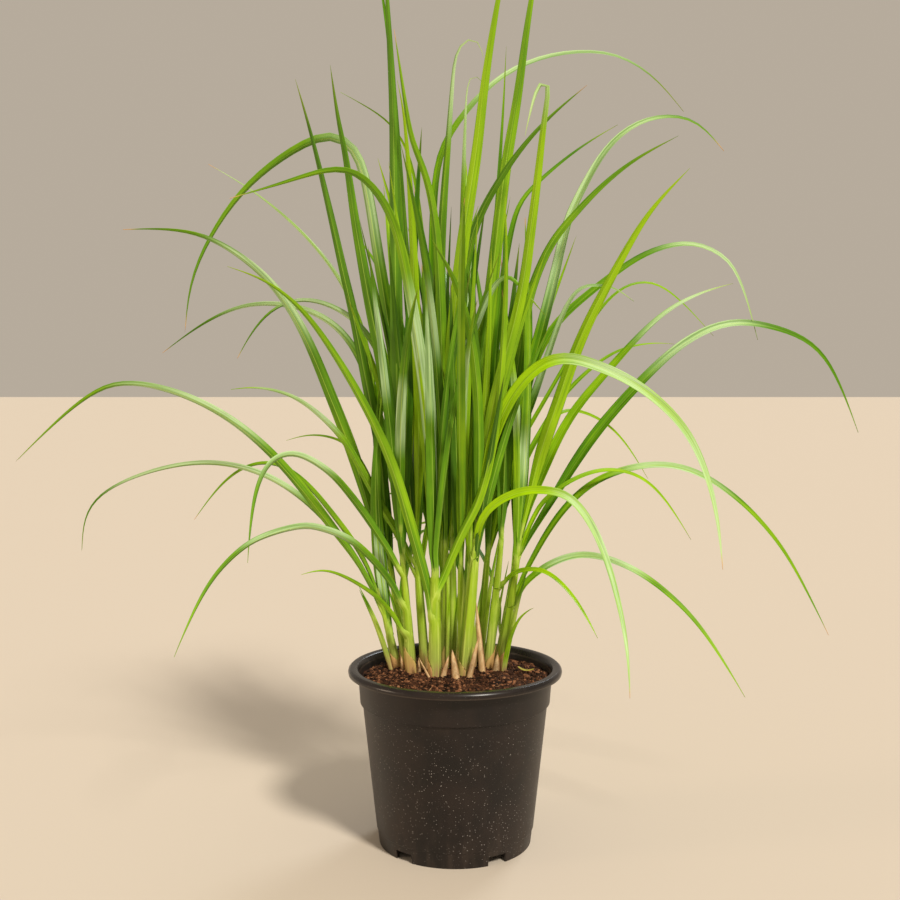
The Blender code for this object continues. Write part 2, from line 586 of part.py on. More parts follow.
def blade_shell(sections, spare):
    """Vertices and triangles of the blade, split alike on its two faces."""
    frames, up, root_share, width = sections
    vertices, faces = [], []
    for place, along, side, normal in frames[:-1]:
        half = 0.5 * width * width_at(along, root_share) + spare
        thick = 0.5 * BLADE_THICK * (1 - 0.55 * along) + spare
        lift = normal * (up * half * BLADE_FOLD)
        vertices += [place + side * half + lift, place + normal * (up * thick), place - side * half + lift,
                     place - normal * (up * thick)]
    vertices.append(frames[-1][0])
    last = len(frames) - 2
    for i in range(last):
        a, b = 4 * i, 4 * i + 4
        for left, right in ((0, 1), (2, 1), (0, 3), (2, 3)):
            faces.append((a + left, a + right, b + right))
            faces.append((a + left, b + right, b + left))
    end, tip = 4 * last, len(vertices) - 1
    for left, right in ((0, 1), (2, 1), (0, 3), (2, 3)):
        faces.append((end + left, end + right, tip))
    faces += [(0, 1, 2), (0, 2, 3)]
    return vertices, faces


def face_eye(place, tangent):
    return tangent.cross(place - EYE).normalized()


def face_up(azimuth):
    """A blade that arches in the upright plane of its azimuth lies level across it."""
    level = Vector((-math.sin(azimuth), math.cos(azimuth), 0.0))
    return lambda place, tangent: (level - tangent * level.dot(tangent)).normalized()


def seen_blade(blade, stalk, step, lift):
    """A blade along the sight lines of its route, its tip's depth moved by step millimetres."""
    root = stalk.at((blade.joint + lift) * MM - ROOT_SUNK)
    root_y = root.y / MM
    tip_y = blade.tip_y + step
    flat = [Vector((x, z)) for x, z in blade.route]
    seen_root = EYE + (root - EYE) * (-EYE.y / (root.y - EYE.y))
    start = Vector((seen_root.x, seen_root.z)) / MM
    total = sum((b - a).length for a, b in zip([start] + flat, flat))
    points, run, last = [root], 0.0, start
    for place in flat:
        run += (place - last).length
        last = place
        depth = root_y + (tip_y - root_y) * (run / total) ** DEPTH_POWER
        points.append(at_depth(place.x, place.y, depth))
    root_width = 1.5 * stalk.radius_at(root.z)
    return blade_sections(smooth_path(points), blade.width * MM, blade.roll, face_eye, root_width)


def ruled_blade(filler, stalk, draw):
    """A blade that leaves its stalk at a lean and bends over by rule."""
    root = stalk.at(stalk.top.z - draw.uniform(*filler.drop) * MM - ROOT_SUNK)
    azimuth = math.radians(draw.uniform(*filler.azimuth))
    lean, bend = math.radians(draw.uniform(*filler.lean)), math.radians(draw.uniform(*filler.bend))
    length, width = draw.uniform(*filler.length) * MM, draw.uniform(*filler.width) * MM
    roll = draw.uniform(-40, 40)
    upright = bend < UPRIGHT_BEND
    late = draw.uniform(*filler.late)
    out = Vector((math.cos(azimuth), math.sin(azimuth), 0.0))
    steps = 24
    place = root.copy()
    path = [place.copy()]
    for i in range(steps):
        share = (i + 0.5) / steps
        angle = lean + (bend - lean) * share ** late
        outward = stalk.lean * math.cos(angle) + out * math.sin(angle)
        place = place + outward.normalized() * (length / steps)
        path.append(place.copy())
    face = face_eye if upright else face_up(azimuth)
    root_width = 1.5 * stalk.radius_at(root.z)
    return blade_sections(path, width, (roll, roll + draw.uniform(-25, 25)), face, root_width)


def in_tuft(sections, reach):
    """Whether the blade reaches as far as it should and the front view shows it inside the tuft's outline."""
    furthest = max(abs(place.y) for place, _, _, _ in sections[0]) / MM
    if not reach[0] <= furthest <= reach[1]:
        return False
    for place, _, _, _ in sections[0]:
        seen = (EYE + (place - EYE) * (-EYE.y / (place.y - EYE.y))) / MM
        for (low, half_low), (high, half_high) in zip(TUFT, TUFT[1:]):
            if low <= seen.z < high:
                half = half_low + (half_high - half_low) * (seen.z - low) / (high - low)
                if abs(seen.x - TUFT_X) > half:
                    return False
        if seen.z >= TUFT[-1][0]:
            return False
    return True


class Clump:
    """The stalks and blades laid so far, and the test that a new blade crosses no other stem."""

    def __init__(self, stalks):
        self.stalks = stalks
        self.blades = {name: [] for name in stalks}
        self.shells = {name: [stalk.shell(BLADE_CLEAR)] for name, stalk in stalks.items()}
        self.trees = {name: self.tree(name) for name in stalks}

    def tree(self, name):
        vertices, faces = [], []
        for more, polygons in self.shells[name]:
            base = len(vertices)
            vertices += more
            faces += [tuple(base + i for i in face) for face in polygons]
        return BVHTree.FromPolygons(vertices, faces, all_triangles=True)

    def clear(self, name, sections):
        vertices, faces = blade_shell(sections, BLADE_CLEAR)
        new = BVHTree.FromPolygons(vertices, faces, all_triangles=True)
        return not any(other != name and tree.overlap(new) for other, tree in self.trees.items())

    def lay(self, name, sections):
        self.blades[name].append(sections)
        self.shells[name].append(blade_shell(sections, BLADE_CLEAR))
        self.trees[name] = self.tree(name)


def lay_seen(clump):
    for blade in SEEN:
        stalk = clump.stalks[blade.stem]
        for lift in LIFT_STEPS:
            for step in DEPTH_STEPS:
                sections = seen_blade(blade, stalk, step, lift)
                if clump.clear(blade.stem, sections):
                    clump.lay(blade.stem, sections)
                    break
            else:
                continue
            break


def lay_fillers(clump):
    draw = random.Random(SEED)
    for filler in FILLERS:
        for index in range(filler.count):
            name = filler.stems[index % len(filler.stems)]
            for _ in range(FILLER_TRIES):
                sections = ruled_blade(filler, clump.stalks[name], draw)
                if in_tuft(sections, filler.reach) and clump.clear(name, sections):
                    clump.lay(name, sections)
                    break


def keep_body(obj):
    """Keeps the mesh's largest connected body, which fills any hollow that the union sealed."""
    work = bmesh.new()
    work.from_mesh(obj.data)
    waiting = set(work.faces)
    bodies = []
    while waiting:
        body, edge = set(), [waiting.pop()]
        while edge:
            face = edge.pop()
            body.add(face)
            near = {other for side in face.edges for other in side.link_faces} & waiting
            waiting -= near
            edge.extend(near)
        bodies.append(body)
    largest = max(bodies, key=len)
    spare = [face for face in work.faces if face not in largest]
    bmesh.ops.delete(work, geom=spare, context="FACES")
    work.to_mesh(obj.data)
    work.free()


def make_stem(name, clump, collection, material):
    stalk = tube_mesh(f"stem_{name}", clump.stalks[name].stations())
    stem = add_object(f"stem_{name}", stalk, collection)
    blades = make_collection(f"blades_{name}", hidden=True)
    for index, sections in enumerate(clump.blades[name]):
        mesh = mesh_from(f"blade_{name}_{index + 1}", *blade_shell(sections, 0.0))
        blades.objects.link(as_cutter(bpy.data.objects.new(mesh.name, mesh)))
    combine(stem, blades, "UNION")
    keep_body(stem)
    stem.data.materials.clear()
    stem.data.materials.append(material)
    return stem


def strip_shell(path, picks, width, spare=0.0):
    """Vertices and faces of a small pointed strip whose narrow foot stands in the soil."""
    lengths = [0.0]
    for a, b in zip(path, path[1:]):
        lengths.append(lengths[-1] + (b - a).length)
    count = len(path) - 1
    vertices, faces = [], []
    for k in picks:
        tangent = (path[min(k + 1, count)] - path[max(k - 1, 0)]).normalized()
        side = face_eye(path[k], tangent)
        normal = side.cross(tangent).normalized()
        along = lengths[k] / lengths[-1]
        buried = path[k].z < SOIL_TOP + GAP
        half = 0.5 * width * (STRIP_FOOT if buried else (1 - along ** 2) ** 0.8)
        thick = 0.5 * SHEATH_THICK + spare
        back = normal * (0.3 * half)
        half += spare
        vertices += [path[k] + side * half + back, path[k] + normal * thick, path[k] - side * half + back,
                     path[k] - normal * thick]
    last = 4 * (len(picks) - 1)
    for a in range(0, last, 4):
        for left, right in ((0, 1), (2, 1), (0, 3), (2, 3)):
            faces.append((a + left, a + right, a + 4 + right))
            faces.append((a + left, a + 4 + right, a + 4 + left))
    faces += [(0, 1, 2), (0, 2, 3)]
    return vertices, faces, last


def strip(name, points, width, collection, material):
    """The strip itself, and the shell of its hole in the soil."""
    path = smooth_path(points, STRIP_STEPS)
    above = len(path) - 1 - STRIP_STEPS
    picks = [0] + [STRIP_STEPS + round(i * above / SHEATH_SPANS) for i in range(SHEATH_SPANS)]
    vertices, faces, last = strip_shell(path, picks, width)
    vertices.append(path[-1])
    for left, right in ((0, 1), (2, 1), (0, 3), (2, 3)):
        faces.append((last + left, last + right, len(vertices) - 1))
    add_object(name, mesh_from(name, vertices, faces), collection, material)
    along = (path[1] - path[0]).normalized()
    hole, sides, last = strip_shell(path, [0, STRIP_STEPS], width, STRIP_SPARE)
    hole = [place - along * GAP for place in hole[:last]] + [place + along * (POT_H - SOIL_TOP) for place in hole[last:]]
    sides += [(last, last + 1, last + 2), (last, last + 2, last + 3)]
    return mesh_from(f"hole_of_{name}", hole, sides)


def sheath_points(sheath):
    low = at_depth(sheath.x, SOIL_TOP / MM, sheath.y)
    tip = at_depth(sheath.tip_x, sheath.tip_z, sheath.tip_y)
    foot = low - (tip - low).normalized() * SHEATH_DEPTH
    bulge = Vector((0.0, -1.5 * MM, 0.0))
    return [foot, low, low.lerp(tip, 0.5) + bulge, tip]


def main():
    clear_scene()
    materials = make_materials()
    plant = make_collection("lemongrass_plant")
    stalks = {name: Stalk(stem) for name, stem in STEMS.items()}
    clump = Clump(stalks)
    lay_seen(clump)
    lay_fillers(clump)
    make_pot(plant, materials["pot"])
    holes = []
    for name, stalk in stalks.items():
        make_stem(name, clump, plant, materials["leaf"])
        holes.append(stalk.hole(f"hole_{name}"))
    for name, sheath in SHEATHS.items():
        points = sheath_points(sheath)
        holes.append(strip(f"dry_sheath_{name}", points, sheath.width * MM, plant, materials["dry"]))
    low = at_depth(SHOOT_FOOT[0], SOIL_TOP / MM, SHOOT_FOOT[1])
    shoot = [low - Vector((0.0, 0.0, SHEATH_DEPTH)), low]
    for index, (x, z) in enumerate(SHOOT_ROUTE):
        share = (index + 1) / len(SHOOT_ROUTE)
        shoot.append(at_depth(x, z, SHOOT_FOOT[1] + (SHOOT_TIP_Y - SHOOT_FOOT[1]) * share))
    holes.append(strip("shoot", shoot, SHOOT_WIDTH * MM, plant, materials["leaf"]))
    make_soil(plant, materials["soil"], holes)
    return clump


if __name__ == "__main__":
    main()
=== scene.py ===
"""A lemongrass plant in a black nursery pot: the finish of the pot, the potting mix and every leaf.

Laid out as an add-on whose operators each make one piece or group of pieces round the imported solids. Metres,
+Z up, the pot's axis at the origin and the front of the plant looking along -Y.
"""

import math
import random
from collections import namedtuple
from itertools import accumulate, product

import bmesh
import bpy
from bpy.props import FloatProperty, FloatVectorProperty, IntProperty, PointerProperty
from mathutils import Matrix, Vector, noise
from mathutils.bvhtree import BVHTree


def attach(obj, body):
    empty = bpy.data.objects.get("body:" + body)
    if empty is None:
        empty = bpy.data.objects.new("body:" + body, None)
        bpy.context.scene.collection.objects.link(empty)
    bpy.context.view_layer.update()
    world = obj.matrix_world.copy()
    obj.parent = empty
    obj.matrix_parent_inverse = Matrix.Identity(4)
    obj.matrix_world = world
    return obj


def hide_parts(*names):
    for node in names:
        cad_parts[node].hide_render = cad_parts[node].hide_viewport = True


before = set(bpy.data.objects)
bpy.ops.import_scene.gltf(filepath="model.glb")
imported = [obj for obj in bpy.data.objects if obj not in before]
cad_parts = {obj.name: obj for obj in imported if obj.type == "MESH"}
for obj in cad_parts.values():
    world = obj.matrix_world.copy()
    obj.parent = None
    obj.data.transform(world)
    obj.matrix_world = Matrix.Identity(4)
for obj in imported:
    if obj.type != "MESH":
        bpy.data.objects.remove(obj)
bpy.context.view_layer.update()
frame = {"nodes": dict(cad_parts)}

bl_info = {
    "name": "Potted lemongrass",
    "version": (1, 0, 0),
    "blender": (4, 5, 0),
    "location": "View3D > Sidebar > Lemongrass",
    "description": "Pot, potting mix and leaves of a lemongrass plant",
    "category": "Add Mesh",
}

MM = 0.001
BODY = "root"
GAP = 0.3 * MM

# The pot's own measures
RIM_R = 110.0 * MM
POT_H = 182.0 * MM
LIP_H = 6.8 * MM
MOUTH_R = 100.5 * MM
COLLAR_TOP_R = 99.5 * MM
COLLAR_LOW_R = 97.6 * MM
COLLAR_LOW_Z = 146.0 * MM
BODY_TOP_R = 95.1 * MM
FOOT_LINE_Z = 15.5 * MM
FOOT_LINE_R = 81.2 * MM
FOOT_R = 78.5 * MM
FOOT_RING = 3.2 * MM
WALL = 1.6 * MM
FLOOR_Z = 9.6 * MM
NOTCHES = 5
NOTCH_FIRST = math.radians(-40.4)
NOTCH_W = 20.0 * MM
NOTCH_H = 9.2 * MM
EDGE_ANGLE = math.radians(34)
SHARP_ANGLE = math.radians(42)

# The potting mix
SOIL_EDGE_Z = 170.0 * MM
SOIL_CROWN = 3.0 * MM
SOIL_LUMP = 1.3 * MM
SOIL_TOP = 176.0 * MM

# The stems and blades
FOOT_DEPTH = 42.0 * MM
STALK_FOOT_SEEN = 172.0
STALK_SIDES = 8
STALK_TOP_SHARE = 0.32
STALK_SEGMENTS = 5
BLADE_THICK = 1.3 * MM
BLADE_FOLD = 0.26
BLADE_CLEAR = 0.35 * MM
ROOT_SUNK = 12.0 * MM
ROOT_WIDTHS = 1.5
SPAN_MM = 56.0
MIN_SPANS = 5
MAX_SPANS = 12
TURN_WEIGHT = 60 * MM
DEPTH_POWER = 1.4
# A blade is widest from this share of its length on
SWELL_SHARE = 0.28

# The eye the routes are seen from: a route's (x, z) are millimetres on the upright plane through the pot's
# axis, and each point slides along its sight line to its own depth.
EYE = Vector((-5.2, -1171.0, 476.0)) * MM
EYE_TILT = math.radians(3.51)
EYE_LENS = 46.0
EYE_SENSOR = 36.0

# name, x and depth of the foot, then x, height and depth of the top, and the foot's radius, in millimetres
Stem = namedtuple("Stem", "x y top_x top_z top_y radius")
STEMS = {
    "01": Stem(-58, 27, -79, 262, 22, 5.2),
    "02": Stem(-49, 45, -70, 305, 50, 5.0),
    "03": Stem(-45, 10, -57, 335, 8, 5.8),
    "04": Stem(-31, 30, -42, 315, 30, 4.3),
    "05": Stem(-21, -8, -21, 322, -12, 7.0),
    "06": Stem(-10, 22, -9, 330, 20, 5.0),
    "07": Stem(-2, 48, -3, 340, 50, 5.0),
    "08": Stem(9, -3, 25, 348, -8, 6.8),
    "09": Stem(17, 30, 15, 325, 32, 4.5),
    "10": Stem(33, 27, 50, 335, 28, 5.2),
    "11": Stem(46, 27, 70, 335, 20, 5.4),
    "12": Stem(43, 50, 66, 320, 58, 4.8),
    "13": Stem(23, 53, 36, 330, 66, 5.0),
    "14": Stem(-30, 62, -42, 330, 78, 5.0),
    "15": Stem(-10, 68, -13, 340, 86, 5.0),
    "16": Stem(10, 68, 14, 340, 88, 5.0),
    "17": Stem(-19, 42, -22, 325, 46, 4.5),
    "18": Stem(7, 14, 5, 320, 10, 4.3),
}

# How a blade looks: its green from deep (0) to bright (1), partly the blade's age and partly painted light,
# with blades in the sun given brighter greens and blades in shade deeper ones, and the stretch of it that
# shows a pale face, a waxy bloom with a painted sheen where the blade arches over
NO_PALE = (2.0, 3.0)
Look = namedtuple("Look", "tint pale_from pale_to", defaults=NO_PALE)

# A blade that the front view shows: its stem, the height of its joint, its tip's depth, its width, its roll
# at the root and at the tip in degrees (0 faces the eye), its look, and its route's (x, z) from the joint to
# the tip
Blade = namedtuple("Blade", "stem joint tip_y width roll look route")
SEEN = [
    Blade('01', 250, 0, 11.5, (20, 50), Look(0.45, 0.45, 0.72), [(-101, 291), (-129, 327), (-183, 397),
        (-250, 450), (-330, 474), (-372, 462), (-449, 392)]),
    Blade('12', 290, 110, 13, (15, 50), Look(0.35, 0.48, 0.66), [(78, 318), (100, 353), (134, 408),
        (168, 450), (208, 492), (240, 518), (280, 534), (320, 529), (356, 516), (382, 490), (411, 422)]),
    Blade('01', 240, 90, 9, (30, 50), Look(0.35, 0.35, 0.8), [(-104, 297), (-150, 350), (-200, 382),
        (-265, 393), (-350, 368), (-378, 340), (-383, 300)]),
    Blade('05', 312, -120, 14.5, (10, 45), Look(0.5, 0.05, 0.5), [(-24, 380), (-31, 460), (-43, 540),
        (-57, 615), (-71, 652), (-97, 682), (-125, 687), (-172, 673), (-227, 658)]),
    Blade('08', 335, -150, 13.5, (10, 35), Look(0.85, 0.45, 1.0), [(33, 390), (42, 425), (57, 457),
        (75, 480), (95, 494), (118, 497), (150, 487), (180, 473), (211, 450), (237, 421), (255, 384),
        (268, 337), (275, 281)]),
    Blade('08', 305, -215, 9.5, (20, 35), Look(0.8, 0.38, 1.0), [(26, 333), (47, 353), (72, 362), (97, 362),
        (118, 355), (139, 328), (153, 297), (166, 254), (177, 202), (181, 147)]),
    Blade('11', 325, -70, 14.5, (5, 30), Look(0.9), [(80, 374), (91, 415), (105, 454), (119, 498),
        (136, 538), (153, 571), (175, 612), (199, 650), (236, 688)]),
    Blade('02', 285, -20, 14.5, (5, 50), Look(0.4, 0.55, 0.8), [(-77, 304), (-92, 360), (-110, 415),
        (-130, 465), (-150, 515), (-180, 567), (-225, 606), (-270, 626), (-335, 627)]),
    Blade('06', 320, -80, 15.5, (5, 15), Look(0.8), [(-12, 400), (-5, 490), (3, 580), (11, 640), (21, 700),
        (28, 764), (38, 829), (52, 905), (57, 932)]),
    Blade('09', 315, -20, 15.5, (5, 15), Look(0.65), [(22, 420), (31, 520), (40, 600), (50, 690), (62, 755),
        (70, 820), (86, 915), (91, 940)]),
    Blade('08', 330, -110, 13, (5, 25), Look(0.8, 0.85, 1.0), [(30, 407), (45, 477), (58, 525), (69, 573),
        (75, 620), (82, 673), (89, 739), (93, 766), (90, 774), (83, 768), (77, 750), (70, 720)]),
    Blade('06', 325, -30, 13, (5, 40), Look(0.45, 0.8, 1.0), [(-14, 450), (-17, 560), (-13, 650), (-8, 710),
        (-3, 775), (1, 803), (13, 816), (24, 812), (28, 797)]),
    Blade('03', 325, -20, 14.5, (0, 15), Look(0.25), [(-59, 450), (-60, 560), (-61, 650), (-62, 740),
        (-65, 800), (-68, 855), (-71, 918)]),
    Blade('10', 325, 40, 14.5, (10, 50), Look(0.45, 0.45, 0.85), [(55, 400), (68, 450), (80, 495),
        (92, 540), (104, 590), (114, 635), (127, 663), (149, 703), (175, 728), (205, 739), (240, 736),
        (270, 705)]),
    Blade('14', 315, 60, 14.5, (5, 45), Look(0.4, 0.45, 0.6), [(-56, 450), (-70, 550), (-80, 608),
        (-88, 660), (-100, 705), (-125, 721), (-165, 704), (-213, 667), (-250, 614), (-268, 570),
        (-274, 523)]),
    Blade('07', 330, -60, 12.5, (10, 25), Look(0.25), [(-2, 420), (2, 520), (10, 590), (20, 632), (40, 670),
        (62, 703), (93, 738), (132, 770)]),
    Blade('15', 330, 130, 11, (20, 50), Look(0.4, 0.65, 0.9), [(-20, 450), (-22, 560), (-21, 650),
        (-15, 700), (0, 729), (23, 757), (50, 781), (93, 799), (137, 803), (168, 797), (200, 777),
        (229, 744)]),
    Blade('07', 320, -140, 12.5, (10, 35), Look(0.5, 0.5, 0.8), [(-2, 400), (2, 480), (8, 500), (24, 540),
        (38, 570), (50, 581), (60, 577), (75, 560), (91, 541)]),
    Blade('11', 248, -60, 9, (35, 40), Look(0.55, 0.2, 0.5), [(69, 263), (89, 281), (114, 293), (137, 296),
        (168, 288), (201, 270), (239, 237), (265, 204), (300, 148)]),
    Blade('12', 255, 40, 9.5, (35, 40), Look(0.6, 0.4, 0.6), [(64, 262), (78, 288), (98, 324), (121, 353),
        (149, 375), (196, 389), (239, 385), (286, 357), (326, 316), (350, 280), (385, 213)]),
    Blade('03', 250, -130, 9, (30, 40), Look(0.4, 0.3, 0.6), [(-70, 273), (-93, 299), (-112, 314),
        (-140, 324), (-158, 326), (-200, 314), (-222, 300), (-255, 265), (-290, 190)]),
    Blade('03', 285, -60, 9, (20, 40), Look(0.4, 0.45, 0.7), [(-68, 300), (-81, 320), (-93, 338),
        (-111, 362), (-128, 381), (-155, 398), (-172, 400), (-190, 391), (-205, 358), (-213, 288)]),
    Blade('03', 300, -50, 14.5, (0, 15), Look(0.2), [(-58, 360), (-65, 441), (-80, 520), (-88, 560),
        (-95, 600), (-102, 640), (-110, 700), (-118, 738), (-125, 790)]),
    Blade('02', 295, 30, 12.5, (5, 20), Look(0.2), [(-76, 406), (-84, 442), (-91, 477), (-104, 546),
        (-113, 583), (-122, 625), (-140, 703), (-150, 741), (-160, 776)]),
    Blade('05', 240, -60, 12.5, (20, 40), Look(0.6), [(-27, 256), (-47, 328), (-67, 397), (-100, 463),
        (-130, 512), (-155, 546), (-190, 575), (-230, 590)]),
    Blade('17', 315, 60, 10, (20, 45), Look(0.4, 0.6, 0.8), [(-50, 400), (-60, 452), (-76, 500),
        (-104, 539), (-150, 558), (-183, 548), (-205, 525), (-222, 496)]),
    Blade('14', 320, 140, 11, (20, 50), Look(0.4, 0.5, 0.8), [(-66, 370), (-74, 420), (-89, 477),
        (-112, 522), (-150, 547), (-205, 553), (-250, 536), (-297, 503)]),
    Blade('04', 290, -10, 10, (15, 45), Look(0.6, 0.6, 0.9), [(-56, 315), (-70, 335), (-93, 377),
        (-114, 415), (-140, 441), (-165, 459), (-200, 468), (-228, 466)]),
    Blade('12', 300, 90, 11, (15, 45), Look(0.5, 0.72, 1.0), [(60, 420), (75, 475), (88, 508), (106, 536),
        (133, 560), (165, 585), (195, 604), (235, 614), (265, 604), (285, 585), (307, 516)]),
    Blade('11', 318, 20, 11, (15, 35), Look(0.6, 0.7, 1.0), [(76, 346), (90, 380), (105, 415), (124, 447),
        (150, 478), (185, 518), (215, 546), (250, 564), (281, 573)]),
    Blade('10', 320, -30, 12.5, (10, 25), Look(0.45), [(55, 420), (63, 480), (70, 540), (80, 578),
        (98, 616), (116, 638), (145, 669), (180, 697), (224, 720)]),
    Blade('13', 320, -20, 11, (15, 45), Look(0.5, 0.5, 1.0), [(50, 390), (70, 430), (85, 470), (101, 519),
        (113, 550), (127, 569), (146, 571), (162, 568), (181, 555)]),
    Blade('06', 315, -40, 12.5, (5, 25), Look(0.5), [(-12, 390), (-13, 480), (-16, 580), (-22, 648),
        (-33, 690), (-44, 715), (-51, 757), (-61, 825)]),
    Blade('04', 305, -90, 12.5, (5, 25), Look(0.9), [(-36, 420), (-40, 520), (-43, 620), (-48, 700),
        (-52, 745), (-58, 775)]),
    Blade('17', 320, 70, 11, (0, 20), Look(0.35), [(-38, 450), (-50, 600), (-57, 700), (-64, 800),
        (-72, 855), (-80, 908)]),
    Blade('05', 262, -60, 10, (25, 25), Look(0.75), [(-7, 288), (0, 304), (10, 326), (22, 348), (33, 385),
        (43, 440), (49, 520), (52, 600), (50, 660)]),
    Blade('16', 330, 60, 11, (5, 40), Look(0.6, 0.8, 1.0), [(8, 450), (6, 580), (8, 690), (10, 740),
        (12, 770), (18, 781), (26, 774)]),
    Blade('13', 325, 120, 10, (15, 35), Look(0.4), [(38, 450), (46, 560), (57, 625), (66, 655), (88, 678),
        (126, 709), (163, 731)]),
    Blade('09', 305, 60, 7.5, (5, 15), Look(0.4), [(26, 450), (38, 580), (44, 680), (48, 740), (51, 808)]),
    Blade('02', 270, 150, 7.5, (15, 40), Look(0.7, 0.6, 1.0), [(-74, 380), (-82, 450), (-92, 520),
        (-105, 553), (-118, 579), (-150, 620), (-201, 664), (-248, 692)]),
    Blade('10', 268, -100, 6, (35, 35), Look(0.8), [(56, 275), (72, 281), (90, 280), (108, 268), (128, 244),
        (147, 210)]),
    Blade('11', 300, 60, 6, (30, 40), Look(0.7), [(85, 345), (101, 360), (121, 374), (150, 384), (180, 381),
        (208, 363), (242, 312)]),
    Blade('13', 300, 150, 6, (30, 40), Look(0.7), [(62, 370), (80, 412), (104, 441), (120, 445), (145, 437),
        (170, 417), (197, 375)]),
    Blade('16', 320, 170, 6, (30, 40), Look(0.7), [(60, 400), (95, 460), (135, 530), (162, 564), (188, 575),
        (215, 568), (262, 520)]),
    Blade('13', 310, 100, 7.5, (25, 35), Look(0.6), [(75, 400), (95, 435), (111, 460), (139, 488),
        (168, 507), (201, 513), (222, 512)]),
    Blade('15', 320, 110, 7.5, (15, 35), Look(0.6), [(-22, 420), (-30, 600), (-43, 695), (-60, 727),
        (-80, 744), (-115, 763)]),
    Blade('01', 256, 70, 7.5, (30, 45), Look(0.6), [(-97, 298), (-123, 334), (-150, 368), (-175, 387),
        (-195, 391), (-216, 386), (-240, 368), (-267, 333)]),
    Blade('03', 222, -70, 6, (35, 35), Look(0.7), [(-66, 236), (-82, 254), (-112, 273), (-135, 281),
        (-158, 276)]),
    Blade('04', 280, 120, 6, (30, 35), Look(0.7), [(-75, 345), (-92, 385), (-105, 405), (-122, 416),
        (-148, 420), (-172, 414)]),
]

# Depths tried in turn for a blade that would cross another stem, as steps along its own sight lines
DEPTH_STEPS = [0, 14, -14, 28, -28, 44, -44, 62, -62, 82, -82, 104, -104, 128, -128]
LIFT_STEPS = [0, -12, 12, -24]

# Blades that the front view hides or blends, by rule. A filler gives its joint's drop below the stalk's top,
# its angles in degrees (azimuth from +X, lean from the stalk at the root and at the tip), how late it bends,
# and its length, width and furthest reach along Y in millimetres
Filler = namedtuple("Filler", "count stems drop azimuth lean bend late length width reach")
FILLERS = [
    Filler(1, ["15"], (6, 45), (78, 104), (8, 18), (84, 112), (1.2, 1.8), (400, 540), (11, 12), (312, 322)),
    Filler(1, ["18"], (6, 45), (258, 276), (14, 18), (84, 96), (1.4, 1.6), (440, 560), (11, 12), (314, 320)),
    Filler(30, list(STEMS), (6, 45), (0, 360), (1, 8), (6, 26), (1.2, 2.0), (240, 450), (11, 15), (0, 260)),
    Filler(7, ["14", "15", "16", "07"],
           (6, 30), (60, 120), (4, 12), (45, 120), (1.6, 3.0), (400, 560), (11, 14), (120, 305)),
    Filler(5, ["16", "15", "14", "02", "12"],
           (50, 100), (50, 130), (14, 30), (90, 150), (1.0, 1.6), (220, 400), (9, 12), (100, 300)),
    Filler(4, ["12", "13", "16", "10"],
           (6, 60), (25, 75), (6, 20), (60, 130), (1.2, 2.4), (300, 480), (10, 13), (60, 290)),
    Filler(4, ["02", "14", "17", "01"],
           (6, 60), (105, 155), (6, 20), (60, 130), (1.2, 2.4), (300, 480), (10, 13), (60, 290)),
    Filler(5, ["05", "08", "18", "03", "06"],
           (6, 60), (225, 315), (6, 16), (30, 100), (1.4, 2.6), (280, 440), (10, 12), (60, 260)),
]
FILLER_TRIES = 90
FILLER_STEPS = 24
FILLER_ROLL = 40
FILLER_TWIST = 25
FILLER_PALE_SHARE = 0.35
# A blade that bends over less than this has its face turned to the front
UPRIGHT_BEND = math.radians(30)
SEED = 11
# Half width and height of the tuft of blades as the front view shows it, in millimetres
TUFT = [(0, 78), (340, 78), (460, 94), (600, 100), (700, 84), (790, 52), (800, 0)]
TUFT_X = -6.0

# Dry sheaths at the foot of the clump: x, depth, width, then x and height of the tip, in millimetres
Sheath = namedtuple("Sheath", "x y width tip_x tip_z tip_y")
SHEATHS = {
    "01": Sheath(-10.5, -18, 5.4, -6.5, 192, -20),
    "02": Sheath(0.0, -19, 7.4, -3.0, 198, -20),
    "03": Sheath(16.5, -15, 5.6, 24.5, 212, -18),
    "04": Sheath(28.0, 9, 6.6, 21.4, 249, 8),
    "05": Sheath(-30.5, -17, 2.6, -37.5, 190, -19),
    "06": Sheath(-37.0, -1, 4.2, -37.5, 189, -6),
    "07": Sheath(42.0, 15, 8.6, 44.0, 194, 12),
    "08": Sheath(-53.0, 14, 5.6, -56.0, 192, 10),
}
SHEATH_DEPTH = 16.0 * MM
STRIP_STEPS = 22

# The thin young blade to the right of the clump, with its own foot
SHOOT_FOOT = (50.5, 12.0)
SHOOT_WIDTH = 4.2
SHOOT_TIP_Y = -8.0
SHOOT_ROUTE = [(55, 202), (60, 218), (67, 231), (76, 239), (81, 241.5)]

LEAF_THICK = 0.32 * MM
# One cross section along a leaf: its place, the way across it, the way its upper face looks, half its width,
# the angle it is wrapped through, its fold, thickness and overlap, and what its finish reads
Station = namedtuple(
    "Station", "place side face half wrap fold thick spiral along sheath tint pale dry seed",
    defaults=(0.0, LEAF_THICK, 0.0, 0.0, 1.0, 0.5, 0.0, 0.0, 0.0))
LEAST_HALF = 0.05 * MM
TIP_THINNING = 0.55
LEAF_FOLD = 0.55
TIP_UNFOLDING = 0.35
EDGE_CROWDING = 1.4
FLATTEST = 0.02
RIB_NARROWNESS = 4
SHEATH_LOW_Z = 165.0 * MM
SHEATH_WRAP = 6.8
SHEATH_GAP = 0.2 * MM
SHEATH_LAYER = 0.45 * MM
SHEATH_INNER = 0.45
SHEATH_STATIONS = 6
SHEATH_SPIRAL = 0.35 * MM
MOUTH_WRAP = 1.6
MOUTH_FROM = -2 * MM
MOUTH_LEN = 11.0 * MM
FLAT_LEN = 34.0 * MM
NEAR_STEPS = [0, 4, 8, 12, 16, 20, 25, 31, 38, 46, 56]
FAR_STEPS = 48
SOFTENINGS = 30
